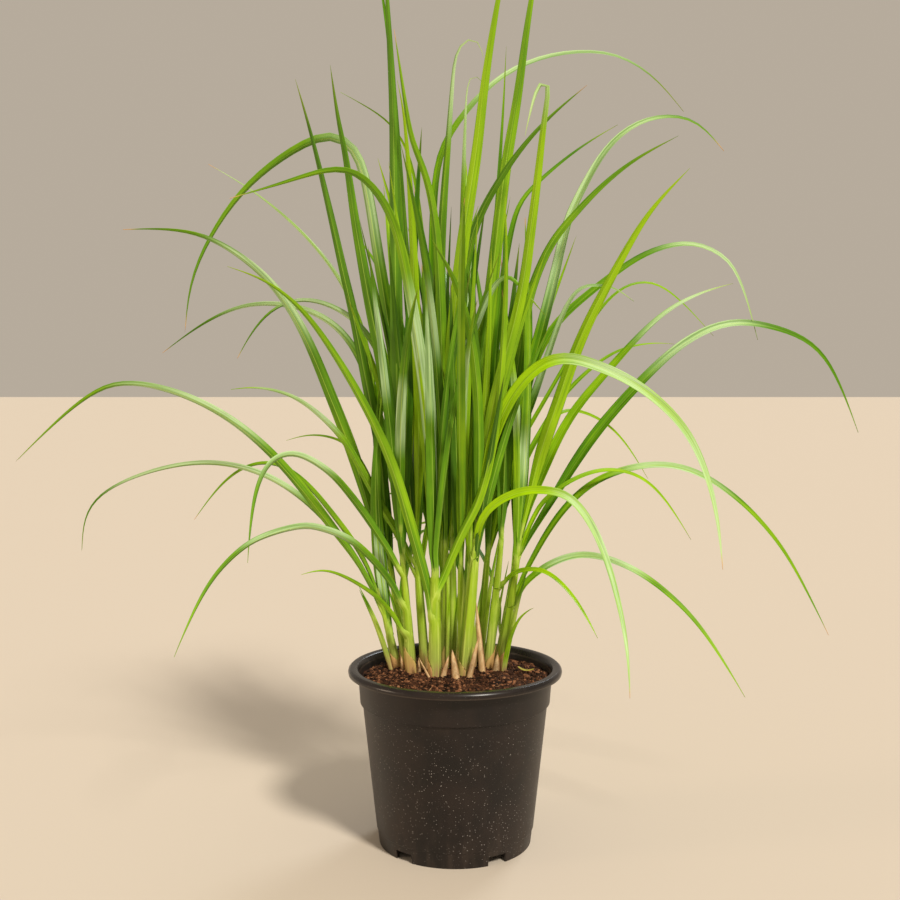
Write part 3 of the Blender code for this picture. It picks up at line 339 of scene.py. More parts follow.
TANGENT_REACH = 4 * MM
CORE_SHARE = 0.35
CORE_STEPS = 8
CORE_TINT = 0.8
HUSK_WRAP = 4.2
HUSK_SHADES = {"01": 0.9, "03": 0.75, "05": 0.85, "10": 1.0, "11": 0.9, "08": 0.6, "06": 0.6, "02": 0.7}
HUSK_SHADE = 0.35
HUSK_TINT = 0.6
HUSK_FLARE = 0.4 * MM
HUSK_STATIONS = 9
HUSK_SWELLS = (0.15 * MM, 0.5 * MM)
HUSK_RISE = (9.0, 30.0)
TIP_DRY_SHARE = 0.2
TIP_DRY_BAND = (0.5, 0.8)
STRIP_WRAP = 1.8
STRIP_UNCURLING = 0.4

# Thin leaves that fill the clump: how many, their stems, the height they start at, their rise and width in
# millimetres, their lean off the stem, their greens, how tightly they are rolled, the share of their length
# that is sheath, how wide the foot is as a share of the whole, and how far outside the stem it stands, in
# widths. The stems are taken in strides, and a leaf bends out by no more than a share of its rise.
Filling = namedtuple("Filling", "count stems start rise width lean tint curl sheathed foot apart")
MIDDLE_STEMS = ["04", "05", "06", "07", "08", "09", "13", "14", "15", "16", "17", "18"]
FILLINGS = {
    "side_shoots": Filling(
        20, list(STEMS), (165, 165), (46, 150), (3.4, 5.8), (0.01, 0.06), (0.2, 0.9),
        curl=2.6, sheathed=0.8, foot=0.8, apart=0.6),
    # The inner blades reach the deepest greens, partly painted shade inside the clump
    "inner_blades": Filling(
        44, MIDDLE_STEMS, (250, 300), (170, 440), (5.0, 10.0), (0.0, 0.11), (-0.1, 0.9),
        curl=0.6, sheathed=0.0, foot=0.25, apart=-0.5),
}
STEM_STRIDE = 5
MOST_BEND = 0.16
LONGEST_BEND = 260 * MM
FILLING_BENDS = ((0, 0), (0.3, 0), (0.65, 0.3), (1, 1))

# A bit of yellowed leaf that lies on the soil: its middle, length and width in millimetres, and how it lies
SCRAP_PLACE = (74, 11)
SCRAP_LENGTH = 17.0
SCRAP_WIDTH = 4.4
SCRAP_TURN = math.radians(-20)
SCRAP_LIFT = 4.0 * MM

# What is scattered on the mix: pieces per square metre, smallest and largest size, length for thickness, the
# tones from black (0) to straw (1), and its seed
Scatter = namedtuple("Scatter", "count smallest largest length tones seed")
LUMPS = Scatter(6500, 3.5 * MM, 9.5 * MM, 1.0, (0.1, 0.9), 5)
STRAWS = Scatter(3800, 0.5 * MM, 1.1 * MM, 12.0, (0.7, 1.25), 8)
CRUMB_TONES = (0.02, 1.0)
CRUMB_SEED = 3
CRUMB_FLATNESS = ((0.55, 0.55, 0.4), (1.3, 1.0, 0.8))
CRUMB_TURN = ((-0.5, -0.5, 0.0), (0.5, 0.5, math.tau))
# The mix itself shows between the crumbs, and its tones keep to the darker half: painted shade in the gaps
GAP_SHADED_MIX_TONES = (0.05, 0.5)
# How fine the mix's roughness, its crumbly skin and its clouds of tone are
ROUGH_SCALE = 110.0
CRUMBLY_SCALE = 420.0
TONE_SCALE = 60.0
LEVEL_NORMAL = 0.2
SCATTER_EDGE = 3 * MM

# The studio: the pale floor's half width, the sky's colour, what the lights aim at, and each one's place and
# colour
FLOOR_REACH = 30.0
SKY_COLOUR = (1.0, 0.87, 0.71, 1.0)
LIGHT_AIM = Vector((0.0, 0.0, 0.35))
LIGHTS = {
    "key": (Vector((1.5, -2.3, 3.0)), (1.0, 0.94, 0.84)),
    "fill": (Vector((-1.35, -0.3, 0.5)), (1.0, 0.78, 0.58)),
    "back": (Vector((1.4, 2.4, 2.6)), (0.90, 0.95, 1.0)),
}


def inner_radius(z):
    """The pot's inner wall at a height, which the soil fills."""
    if z > COLLAR_LOW_Z:
        share = (z - COLLAR_LOW_Z) / (POT_H - LIP_H - COLLAR_LOW_Z)
        return COLLAR_LOW_R + (COLLAR_TOP_R - COLLAR_LOW_R) * share - WALL
    share = (z - FOOT_LINE_Z) / (COLLAR_LOW_Z - FOOT_LINE_Z)
    return FOOT_LINE_R + (BODY_TOP_R - FOOT_LINE_R) * share - WALL


def pot_profile():
    """The section as (radius, height), from the floor's middle up inside, over the lip and down outside."""
    under_lip = POT_H - LIP_H
    floor_top = FLOOR_Z + WALL
    return [
        (0.0, floor_top),
        (inner_radius(floor_top) - 3 * MM, floor_top),
        (inner_radius(floor_top + 3 * MM), floor_top + 3 * MM),
        (inner_radius(COLLAR_LOW_Z - 3 * MM), COLLAR_LOW_Z - 3 * MM),
        (COLLAR_LOW_R - WALL, COLLAR_LOW_Z + 1.5 * MM),
        (COLLAR_TOP_R - WALL, under_lip),
        (MOUTH_R, POT_H - 1.2 * MM),
        (MOUTH_R + 2.2 * MM, POT_H),
        (RIM_R - 2.6 * MM, POT_H - 0.2 * MM),
        (RIM_R - 0.6 * MM, POT_H - 2.0 * MM),
        (RIM_R, POT_H - 4.2 * MM),
        (RIM_R - 0.6 * MM, under_lip),
        (RIM_R - 2.1 * MM, under_lip + 0.5 * MM),
        (RIM_R - 2.3 * MM, POT_H - 3.4 * MM),
        (MOUTH_R + 3.6 * MM, POT_H - 2.4 * MM),
        (COLLAR_TOP_R + 1.2 * MM, under_lip - 0.5 * MM),
        (COLLAR_TOP_R, under_lip - 4.0 * MM),
        (COLLAR_LOW_R, COLLAR_LOW_Z),
        (BODY_TOP_R, COLLAR_LOW_Z - 1.6 * MM),
        (FOOT_LINE_R, FOOT_LINE_Z + 0.6 * MM),
        (FOOT_LINE_R - 1.0 * MM, FOOT_LINE_Z - 0.4 * MM),
        (FOOT_R, 0.0),
        (FOOT_R - FOOT_RING, 0.0),
        (FOOT_R - FOOT_RING + 0.6 * MM, FLOOR_Z),
        (0.0, FLOOR_Z),
    ]


def turned(name, points, steps):
    """A solid turned from a profile of (radius, height) whose ends lie on the axis."""
    mesh = bpy.data.meshes.new(name)
    edges = [(i, i + 1) for i in range(len(points) - 1)]
    mesh.from_pydata([(r, 0.0, z) for r, z in points], edges, [])
    solid = add_object(name, mesh)
    turn = solid.modifiers.new("turn", "SCREW")
    turn.steps = steps
    turn.render_steps = steps
    turn.use_merge_vertices = True
    turn.merge_threshold = 1e-5
    turn.use_normal_calculate = True
    apply_modifiers(solid)
    return solid


def soil_height(x, y):
    """The soil's top: a low crown with a few soft lumps."""
    r = math.hypot(x, y) / inner_radius(SOIL_EDGE_Z)
    lumps = math.sin(x * 95.0 + 1.0) * math.sin(y * 88.0 - 0.6) + 0.6 * math.sin(x * 170.0 - y * 140.0)
    rise = SOIL_CROWN * (1 - r * r) + SOIL_LUMP * lumps * (1 - r ** 6)
    return SOIL_EDGE_Z + rise


def square_to(axis, way):
    """The way turned to stand square on the axis."""
    return (way - axis * way.dot(axis)).normalized()


def level_way(azimuth):
    return Vector((math.cos(azimuth), math.sin(azimuth), 0.0))


def distances(path):
    """How far along the path each of its points lies."""
    return list(accumulate(((b - a).length for a, b in zip(path, path[1:])), initial=0.0))


def at_depth(x, z, y):
    """The point seen at (x, z) millimetres on the middle plane, slid along its sight line to depth y."""
    seen = Vector((x, 0.0, z)) * MM
    return EYE + (seen - EYE) * ((y * MM - EYE.y) / -EYE.y)


def on_plane(place):
    """The (x, z) millimetres on the middle plane at which the eye sees a place."""
    seen = EYE + (place - EYE) * (-EYE.y / (place.y - EYE.y))
    return Vector((seen.x, seen.z)) / MM


class Stalk:
    """A stem's round stalk, from its foot in the soil to its top."""

    def __init__(self, stem):
        low = at_depth(stem.x, STALK_FOOT_SEEN, stem.y)
        self.top = at_depth(stem.top_x, stem.top_z, stem.top_y)
        self.lean = (self.top - low).normalized()
        self.foot = low - self.lean * (FOOT_DEPTH / self.lean.z)
        self.radius = stem.radius * MM

    def at(self, z):
        return self.foot + self.lean * ((z - self.foot.z) / self.lean.z)

    def radius_at(self, z):
        share = (z - self.foot.z) / (self.top.z - self.foot.z)
        return self.radius * (1 - (1 - STALK_TOP_SHARE) * share ** 3)

    def about(self, way):
        """The way turned square to the stalk, and the way across it."""
        face = square_to(self.lean, way)
        return face, self.lean.cross(face).normalized()

    def shell(self, spare):
        """Vertices and triangles of a tube a little larger than the stalk, to test what comes near it."""
        side = self.lean.orthogonal().normalized()
        up = self.lean.cross(side)
        vertices, faces = [], []
        for i in range(STALK_SEGMENTS + 1):
            z = self.foot.z + (self.top.z - self.foot.z) * i / STALK_SEGMENTS
            reach = (self.radius_at(z) + spare) / math.cos(math.pi / STALK_SIDES)
            for k in range(STALK_SIDES):
                angle = math.tau * k / STALK_SIDES
                vertices.append(self.at(z) + (side * math.cos(angle) + up * math.sin(angle)) * reach)
        for i in range(0, STALK_SEGMENTS * STALK_SIDES, STALK_SIDES):
            for k in range(STALK_SIDES):
                a, b = i + k, i + (k + 1) % STALK_SIDES
                faces += [(a, b, b + STALK_SIDES), (a, b + STALK_SIDES, a + STALK_SIDES)]
        return vertices, faces


def smooth_path(points, per_span=10):
    """A centripetal Catmull-Rom curve through the points."""
    ends = [points[0] * 2 - points[1]] + list(points) + [points[-1] * 2 - points[-2]]
    path = []
    for p0, p1, p2, p3 in zip(ends, ends[1:], ends[2:], ends[3:]):
        t1 = max((p1 - p0).length, 1e-6) ** 0.5
        t2 = t1 + max((p2 - p1).length, 1e-6) ** 0.5
        t3 = t2 + max((p3 - p2).length, 1e-6) ** 0.5
        for i in range(per_span):
            t = t1 + (t2 - t1) * i / per_span
            a1 = p0 * ((t1 - t) / t1) + p1 * (t / t1)
            a2 = p1 * ((t2 - t) / (t2 - t1)) + p2 * ((t - t1) / (t2 - t1))
            a3 = p2 * ((t3 - t) / (t3 - t2)) + p3 * ((t - t2) / (t3 - t2))
            b1 = a1 * ((t2 - t) / t2) + a2 * (t / t2)
            b2 = a2 * ((t3 - t) / (t3 - t1)) + a3 * ((t - t1) / (t3 - t1))
            path.append(b1 * ((t2 - t) / (t2 - t1)) + b2 * ((t - t1) / (t2 - t1)))
    path.append(points[-1].copy())
    return path


def spread(path):
    """The path's points at even steps, closer where it bends, with each one's share of the length."""
    lengths, weights = distances(path), [0.0]
    for i in range(1, len(path)):
        step = (path[i] - path[i - 1]).length
        turn = 0.0
        if i < len(path) - 1 and step > 1e-7 and (path[i + 1] - path[i]).length > 1e-7:
            turn = (path[i] - path[i - 1]).angle(path[i + 1] - path[i])
        weights.append(weights[-1] + step + turn * TURN_WEIGHT)
    spans = max(MIN_SPANS, min(MAX_SPANS, round(weights[-1] / (SPAN_MM * MM))))
    picked, i = [], 0
    for k in range(spans + 1):
        goal = weights[-1] * k / spans
        while i < len(path) - 2 and weights[i + 1] < goal:
            i += 1
        share = min(1.0, max(0.0, (goal - weights[i]) / max(weights[i + 1] - weights[i], 1e-9)))
        along = (lengths[i] + (lengths[i + 1] - lengths[i]) * share) / lengths[-1]
        picked.append((path[i].lerp(path[i + 1], share), along))
    return picked


def width_at(along, root_share):
    """A blade's width as a share of its widest: narrow at the root, long and tapering to the tip."""
    swell = min(1.0, along / SWELL_SHARE)
    swell = swell * swell * (3 - 2 * swell)
    return (root_share + (1 - root_share) * swell) * (1 - along ** 2.3) ** 0.85


def rolled(face, roll, place, tangent, along):
    """The way across a blade at a place on it, rolled about its run, and the way its face looks there."""
    side = face(place, tangent)
    normal = side.cross(tangent).normalized()
    angle = math.radians(roll[0] + (roll[1] - roll[0]) * along)
    side = side * math.cos(angle) + normal * math.sin(angle)
    return side, side.cross(tangent).normalized()


def blade_shell(leaf, spare):
    """Vertices and triangles of the blade, split alike on its two faces."""
    vertices, faces = [], []
    for place, along, side, normal in leaf.frames[:-1]:
        half = 0.5 * leaf.width * width_at(along, leaf.root_share) + spare
        rise = normal * (leaf.up * (0.5 * BLADE_THICK * (1 - TIP_THINNING * along) + spare))
        lift = normal * (leaf.up * half * BLADE_FOLD)
        vertices += [place + side * half + lift, place + rise, place - side * half + lift, place - rise]
    vertices.append(leaf.frames[-1][0])
    end, tip = len(vertices) - 5, len(vertices) - 1
    for left, right in ((0, 1), (2, 1), (0, 3), (2, 3)):
        for a in range(0, end, 4):
            faces += [(a + left, a + right, a + 4 + right), (a + left, a + 4 + right, a + 4 + left)]
        faces.append((end + left, end + right, tip))
    return vertices, faces + [(0, 1, 2), (0, 2, 3)]


def face_eye(place, tangent):
    return tangent.cross(place - EYE).normalized()


def face_up(azimuth):
    """A blade that arches in the upright plane of its azimuth lies level across it."""
    level = Vector((-math.sin(azimuth), math.cos(azimuth), 0.0))
    return lambda place, tangent: square_to(tangent, level)


# A leaf's path, how its face is found, its roll, its width and its root's share of it, its frames (place,
# share of the length, way across, way that its face looks), which of its faces is the upper one, and its look
Leaf = namedtuple("Leaf", "path face roll width root_share frames up look")


def leaf_of(path, width, roll, face, root_width):
    places = spread(path)
    frames = []
    for k, (place, along) in enumerate(places):
        before = places[max(k - 1, 0)][0]
        after = places[min(k + 1, len(places) - 1)][0]
        frames.append((place, along, *rolled(face, roll, place, (after - before).normalized(), along)))
    up = 1.0 if frames[len(frames) // 2][3].z > 0 else -1.0
    return Leaf(path, face, roll, width, min(1.0, root_width / width), frames, up, None)


def seen_blade(blade, stalk, step, lift):
    """A blade along the sight lines of its route, its tip's depth moved by step millimetres."""
    root = stalk.at((blade.joint + lift) * MM - ROOT_SUNK)
    root_y = root.y / MM
    flat = [on_plane(root)] + [Vector(place) for place in blade.route]
    lengths = distances(flat)
    points = [root]
    for (x, z), length in zip(flat[1:], lengths[1:]):
        depth = root_y + (blade.tip_y + step - root_y) * (length / lengths[-1]) ** DEPTH_POWER
        points.append(at_depth(x, z, depth))
    root_width = ROOT_WIDTHS * stalk.radius_at(root.z)
    return leaf_of(smooth_path(points), blade.width * MM, blade.roll, face_eye, root_width)


def ruled_blade(filler, stalk, draw):
    """A blade that leaves its stalk at a lean and bends over by rule."""
    place = stalk.at(stalk.top.z - draw.uniform(*filler.drop) * MM - ROOT_SUNK)
    root_width = ROOT_WIDTHS * stalk.radius_at(place.z)
    angles = (filler.azimuth, filler.lean, filler.bend)
    azimuth, lean, bend = (math.radians(draw.uniform(*span)) for span in angles)
    length, width = draw.uniform(*filler.length) * MM, draw.uniform(*filler.width) * MM
    roll = draw.uniform(-FILLER_ROLL, FILLER_ROLL)
    late = draw.uniform(*filler.late)
    path = [place]
    for i in range(FILLER_STEPS):
        angle = lean + (bend - lean) * ((i + 0.5) / FILLER_STEPS) ** late
        outward = stalk.lean * math.cos(angle) + level_way(azimuth) * math.sin(angle)
        place = place + outward.normalized() * (length / FILLER_STEPS)
        path.append(place)
    face = face_eye if bend < UPRIGHT_BEND else face_up(azimuth)
    return leaf_of(path, width, (roll, roll + draw.uniform(-FILLER_TWIST, FILLER_TWIST)), face, root_width)


def in_tuft(leaf, reach):
    """Whether the blade reaches as far as it should and the front view shows it inside the tuft's outline."""
    places = [frame[0] for frame in leaf.frames]
    if not reach[0] <= max(abs(place.y) for place in places) / MM <= reach[1]:
        return False
    for x, z in map(on_plane, places):
        for (low, half_low), (high, half_high) in zip(TUFT, TUFT[1:]):
            half = half_low + (half_high - half_low) * (z - low) / (high - low)
            if low <= z < high and abs(x - TUFT_X) > half:
                return False
        if z >= TUFT[-1][0]:
            return False
    return True


def shell_tree(shell):
    return BVHTree.FromPolygons(*shell, all_triangles=True)


class Clump:
    """The stalks and blades laid so far, and the test that a new blade crosses no other stem."""

    def __init__(self, stalks):
        self.stalks = stalks
        self.leaves = {name: [] for name in stalks}
        self.shells = {name: stalk.shell(BLADE_CLEAR) for name, stalk in stalks.items()}
        self.trees = {name: shell_tree(shell) for name, shell in self.shells.items()}

    def clear(self, name, leaf):
        new = shell_tree(blade_shell(leaf, BLADE_CLEAR))
        return not any(other != name and tree.overlap(new) for other, tree in self.trees.items())

    def lay(self, name, leaf, look):
        self.leaves[name].append(leaf._replace(look=look))
        vertices, faces = self.shells[name]
        more, triangles = blade_shell(leaf, BLADE_CLEAR)
        faces.extend(tuple(len(vertices) + i for i in triangle) for triangle in triangles)
        vertices.extend(more)
        self.trees[name] = shell_tree(self.shells[name])


def lay_seen(clump):
    """Lays each blade that the front view shows at the first lift and depth that keep it clear."""
    for blade in SEEN:
        for lift, step in product(LIFT_STEPS, DEPTH_STEPS):
            leaf = seen_blade(blade, clump.stalks[blade.stem], step, lift)
            if clump.clear(blade.stem, leaf):
                clump.lay(blade.stem, leaf, blade.look)
                break


def lay_fillers(clump):
    draw = random.Random(SEED)
    looks = random.Random(SEED + 1)
    for filler in FILLERS:
        for index in range(filler.count):
            name = filler.stems[index % len(filler.stems)]
            for _ in range(FILLER_TRIES):
                leaf = ruled_blade(filler, clump.stalks[name], draw)
                if in_tuft(leaf, filler.reach) and clump.clear(name, leaf):
                    clump.lay(name, leaf, filler_look(looks))
                    break


def filler_look(draw):
    """A hidden blade's look: mostly mid to deep green, the deeper greens partly painted shade inside the
    clump, now and then with a pale stretch.
    """
    start = draw.uniform(0.1, 0.7)
    pale = (start, start + draw.uniform(0.1, 0.4)) if draw.random() < FILLER_PALE_SHARE else NO_PALE
    return Look(draw.uniform(0.1, 0.75), *pale)


def sheath_points(sheath):
    low = at_depth(sheath.x, SOIL_TOP / MM, sheath.y)
    tip = at_depth(sheath.tip_x, sheath.tip_z, sheath.tip_y)
    foot = low - (tip - low).normalized() * SHEATH_DEPTH
    bulge = Vector((0.0, -1.5 * MM, 0.0))
    return [foot, low, low.lerp(tip, 0.5) + bulge, tip]


# Meshes and objects


def add_object(name, data):
    obj = bpy.data.objects.new(name, data)
    bpy.context.scene.collection.objects.link(obj)
    return obj


def apply_modifiers(obj):
    """Turns the object's evaluated shape into its own plain mesh."""
    bpy.context.view_layer.update()
    graph = bpy.context.evaluated_depsgraph_get()
    mesh = bpy.data.meshes.new_from_object(obj.evaluated_get(graph))
    obj.modifiers.clear()
    obj.data = mesh


def plain_mesh(name, work):
    """The worked shape as a new mesh."""
    mesh = bpy.data.meshes.new(name)
    work.to_mesh(mesh)
    work.free()
    return mesh


def dress(obj, material):
    """Gives the piece its one material on a smooth skin."""
    obj.data.materials.clear()
    obj.data.materials.append(material)
    obj.data.shade_smooth()


def turn_outwards(mesh):
    """Faces point outwards, and doubles are merged."""
    work = bmesh.new()
    work.from_mesh(mesh)
    bmesh.ops.remove_doubles(work, verts=work.verts, dist=1e-6)
    bmesh.ops.recalc_face_normals(work, faces=work.faces)
    work.to_mesh(mesh)
    work.free()


def keep_attributes(mesh, names):
    for name in [a.name for a in mesh.attributes if not a.is_internal and not a.is_required]:
        if name not in names and mesh.attributes[name].data_type in ("FLOAT", "FLOAT_VECTOR"):
            mesh.attributes.remove(mesh.attributes[name])


def grown(obj, tree, settings):
    """Runs a Geometry Nodes tree on the object with the named settings, and keeps the result as its mesh."""
    growth = obj.modifiers.new("growth", "NODES")
    growth.node_group = tree
    sockets = {item.name: item.identifier for item in tree.interface.items_tree if item.in_out == "INPUT"}
    for name, value in settings.items():
        growth[sockets[name]] = value
    apply_modifiers(obj)


def settle(obj, slot, *nodes):
    """The piece rides on the plant's body and stands for the nodes; the slot it is given is not used."""
    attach(obj, BODY)
    if nodes:
        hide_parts(*nodes)


# Node trees


def maths(operation, reflected=False):
    """A method that adds one Math node; the reflected form takes its two sides the other way round."""
    def method(wire, *others):
        terms = (*others, wire) if reflected else (wire, *others)
        return wire.recipe.add("ShaderNodeMath", {"operation": operation}, dict(enumerate(terms)))
    return method


class Wire:
    """An output of a node; arithmetic on it adds Math nodes to its tree."""

    def __init__(self, recipe, socket):
        self.recipe = recipe
        self.socket = socket

    __add__ = maths("ADD")
    __radd__ = maths("ADD", True)
    __sub__ = maths("SUBTRACT")
    __rsub__ = maths("SUBTRACT", True)
    __mul__ = maths("MULTIPLY")
    __rmul__ = maths("MULTIPLY", True)
    __truediv__ = maths("DIVIDE")
    __rtruediv__ = maths("DIVIDE", True)
    __pow__ = maths("POWER")
    __abs__ = maths("ABSOLUTE")
    sine = maths("SINE")
    cosine = maths("COSINE")
    sign = maths("SIGN")
    least = maths("MINIMUM")
    most = maths("MAXIMUM")

    def between(self, low, high):
        """0 below low, 1 above high, and a soft rise from one to the other."""
        values = {"Value": self, "From Min": low, "From Max": high}
        return self.recipe.add("ShaderNodeMapRange", {"interpolation_type": "SMOOTHSTEP"}, values)


class Recipe:
    """A node tree, and the one way that nodes are added to it."""

    def __init__(self, tree):
        self.tree = tree

    def add(self, kind, settings=None, values=None, out=0):
        node = self.tree.nodes.new(kind)
        for name, setting in (settings or {}).items():
            if name == "stops":
                self.set_stops(node.color_ramp, setting)
            else:
                setattr(node, name, setting)
        for key, value in (values or {}).items():
            if isinstance(value, Wire):
                self.tree.links.new(value.socket, node.inputs[key])
            else:
                node.inputs[key].default_value = value
        return Wire(self, node.outputs[out]) if len(node.outputs) else node

    @staticmethod
    def set_stops(ramp, stops):
        while len(ramp.elements) < len(stops):
            ramp.elements.new(1.0)
        for element, (place, colour) in zip(ramp.elements, stops):
            element.position = place
            element.color = (*colour[:3], 1.0)

    def also(self, wire, out):
        """Another output of the same node."""
        return Wire(self, wire.socket.node.outputs[out])

    def blend(self, share, first, second):
        """A colour between two others."""
        values = {0: share, 6: opaque(first), 7: opaque(second)}
        return self.add("ShaderNodeMix", {"data_type": "RGBA"}, values, out=2)

    def ramp(self, share, *stops):
        """A colour from a ramp whose stops are each a place and a colour."""
        return self.add("ShaderNodeValToRGB", {"stops": stops}, {"Fac": share})

    def layered(self, base, *coats):
        """A colour under coats, each a share and the colour that it brings."""
        for share, colour in coats:
            base = self.blend(share, base, colour)
        return base

    def scaled(self, vector, size):
        return self.add("ShaderNodeVectorMath", {"operation": "SCALE"}, {0: vector, "Scale": size})

    def stored(self, geometry, name, value, kind="FLOAT", domain="POINT"):
        """The geometry with a value kept on it under a name."""
        settings = {"data_type": kind, "domain": domain}
        values = {"Geometry": geometry, "Name": name, "Value": value}
        return self.add("GeometryNodeStoreNamedAttribute", settings, values)

    def finished(self, geometry, material):
        """Ends a Geometry Nodes tree with plain geometry of one material."""
        geometry = self.add("GeometryNodeRealizeInstances", values={"Geometry": geometry})
        geometry = self.add("GeometryNodeSetMaterial", values={"Geometry": geometry, "Material": material})
        self.add("NodeGroupOutput", values={"Geometry": geometry})


def new_tree(name, inputs):
    """A Geometry Nodes tree from a mesh and the named inputs, each of its kind, to a mesh."""
    tree = bpy.data.node_groups.new(name, "GeometryNodeTree")
    for title, kind in {"Geometry": "Geometry", **inputs}.items():
        tree.interface.new_socket(title, in_out="INPUT", socket_type=f"NodeSocket{kind}")
    tree.interface.new_socket("Geometry", in_out="OUTPUT", socket_type="NodeSocketGeometry")
    recipe = Recipe(tree)
    return recipe, recipe.add("NodeGroupInput", out="Geometry")


def opaque(colour):
    return colour if isinstance(colour, Wire) else (*colour[:3], 1.0)


class Finish(Recipe):
    """A material's tree with its shader and output in place."""

    def __init__(self, name, **constants):
        self.material = bpy.data.materials.new(name)
        self.material.use_nodes = True
        super().__init__(self.material.node_tree)
        self.tree.nodes.clear()
        self.shader = self.add("ShaderNodeBsdfPrincipled", values=constants)
        self.add("ShaderNodeOutputMaterial", values={"Surface": self.shader})
        self.place = self.add("ShaderNodeTexCoord", out="Object")

    def wear(self, socket, value):
        self.tree.links.new(value.socket, self.shader.socket.node.inputs[socket])

    def traits(self, *names):
        """Numbers that the piece's mesh carries."""
        return [self.add("ShaderNodeAttribute", {"attribute_name": name}, out="Fac") for name in names]

    def parts(self, vector):
        x = self.add("ShaderNodeSeparateXYZ", values={0: vector}, out="X")
        return x, self.also(x, "Y"), self.also(x, "Z")

    def point(self, x, y, z):
        return self.add("ShaderNodeCombineXYZ", values={"X": x, "Y": y, "Z": z})

    def noise(self, vector, scale, detail=2.0, roughness=0.5):
        values = {"Vector": vector, "Scale": scale, "Detail": detail, "Roughness": roughness}
        return self.add("ShaderNodeTexNoise", values=values)

    def cells(self, vector, scale, out="Distance"):
        return self.add("ShaderNodeTexVoronoi", values={"Vector": vector, "Scale": scale}, out=out)

    def relief(self, height, distance, strength):
        values = {"Height": height, "Distance": distance, "Strength": strength}
        self.wear("Normal", self.add("ShaderNodeBump", values=values))


# Finishes: heights where they change, and how many specks and drops lie on a metre of the pot
FOOT_BAND = (174 * MM, 192 * MM)
LOW_BAND = (185 * MM, 232 * MM)
TOP_BAND = (255 * MM, 330 * MM)
LIP_BAND = (174.5 * MM, 176.5 * MM)
# The pale line along the lip's lower edge, its height and how soft it is: dust with a painted highlight
LIP_EDGE_Z = 175.7 * MM
LIP_EDGE = (0.3 * MM, 1.2 * MM)
SPECKED_TO = (120 * MM, 165 * MM)
DUSTY_TO = 75 * MM
FLECK_CELLS = 430.0
SPLASH_CELLS = 120.0
FLOOR_CLOUD = (0.63, 0.55, 0.455)


def leaf_finish(greens):
    """A grass leaf: a satin green blade with fine veins and a pale midrib, and a yellow-green sheath."""
    leaf = Finish("lemongrass_leaf", **{"IOR": 1.42, "Specular IOR Level": 0.16})
    along, across, half, upper, sheath, tint, seed, pale, dry = leaf.traits(
        "along", "across", "half", "depth", "sheath", "tint", "seed", "pale", "dry")
    z = leaf.parts(leaf.place)[2]
    reach = across * half

    veins = leaf.noise(leaf.point(reach, along * 0.006, seed * 3.7), 1150.0, 1.0)
    wide_veins = leaf.noise(leaf.point(reach, along * 0.012, seed * 9.1), 420.0, 1.0)
    mottle = leaf.noise(leaf.point(reach * 0.4, along * 0.25, seed * 5.3), 24.0, 3.0, 0.6)
    # Painted light in the blade's green: its tint is partly its age and partly painted light, with sunlit
    # blades brighter and shaded ones deeper
    shade = tint * 1.1 + (mottle - 0.5) * 0.7 + (wide_veins - 0.5) * 0.8
    under = (0 - upper).between(-0.05, 0.05)
    rib = (1 - abs(across).between(0.015, 0.085)) * (1 - along.between(0.6, 0.85))
    blade = leaf.layered(
        leaf.ramp(shade, (0.0, greens.deep), (0.45, greens.middle), (1.0, greens.bright)),
        (under * 0.16, greens.underside),
        # The pale stretch is partly the waxy bloom and partly a painted sheen where a blade arches over
        (pale * (0.35 + 0.65 * wide_veins.between(0.3, 0.65)), greens.glaucous),
        (veins.between(0.48, 0.7) * 0.16, greens.underside),
        ((1 - veins.between(0.28, 0.45)) * 0.3, greens.deep),
        (rib * (0.3 + 0.3 * under + 0.25 * pale), greens.midrib),
        (along.between(0.88, 1.0) * (0.15 + 0.7 * seed) * 0.5, greens.yellowed),
        (along.between(0.965, 0.995) * dry, greens.husk),
    )

    fine = leaf.noise(leaf.point(reach, z * 0.02, seed * 7.3), 1500.0, 2.0)
    streaks = leaf.noise(leaf.point(reach, z * 0.05, seed * 2.9), 300.0, 2.0)
    clouds = leaf.noise(leaf.point(reach, z * 0.5, seed * 1.7), 60.0, 2.0)
    body = leaf.layered(
        greens.foot,
        (z.between(*FOOT_BAND), greens.sheath_low),
        (z.between(*LOW_BAND), greens.sheath),
        (z.between(*TOP_BAND), greens.sheath_top),
        (fine.between(0.4, 0.68) * 0.3, greens.sheath_vein),
        (streaks.between(0.47, 0.66) * 0.5, greens.sheath_light),
        (clouds.between(0.5, 0.75) * 0.35, greens.sheath_vein),
    )
    papery = leaf.noise(leaf.point(reach, z * 0.12, seed * 4.1), 620.0, 2.0)
    husk = leaf.layered(
        greens.husk_edge,
        (papery.between(0.35, 0.65), greens.foot),
        (along.between(0.05, 0.5), greens.husk),
    )
    collar = 4 * sheath * (1 - sheath)
    skin = leaf.layered(blade, (sheath, body), (collar * 0.35, greens.sheath_light), (dry * sheath, husk))
    leaf.wear("Base Color", skin)
    leaf.wear("Roughness", 0.34 + 0.2 * wide_veins + 0.18 * pale + 0.1 * under - 0.05 * sheath)
    leaf.relief(veins * 0.5 + wide_veins * 0.5 + rib * 0.5, 0.16 * MM, 0.7)
    return leaf.material


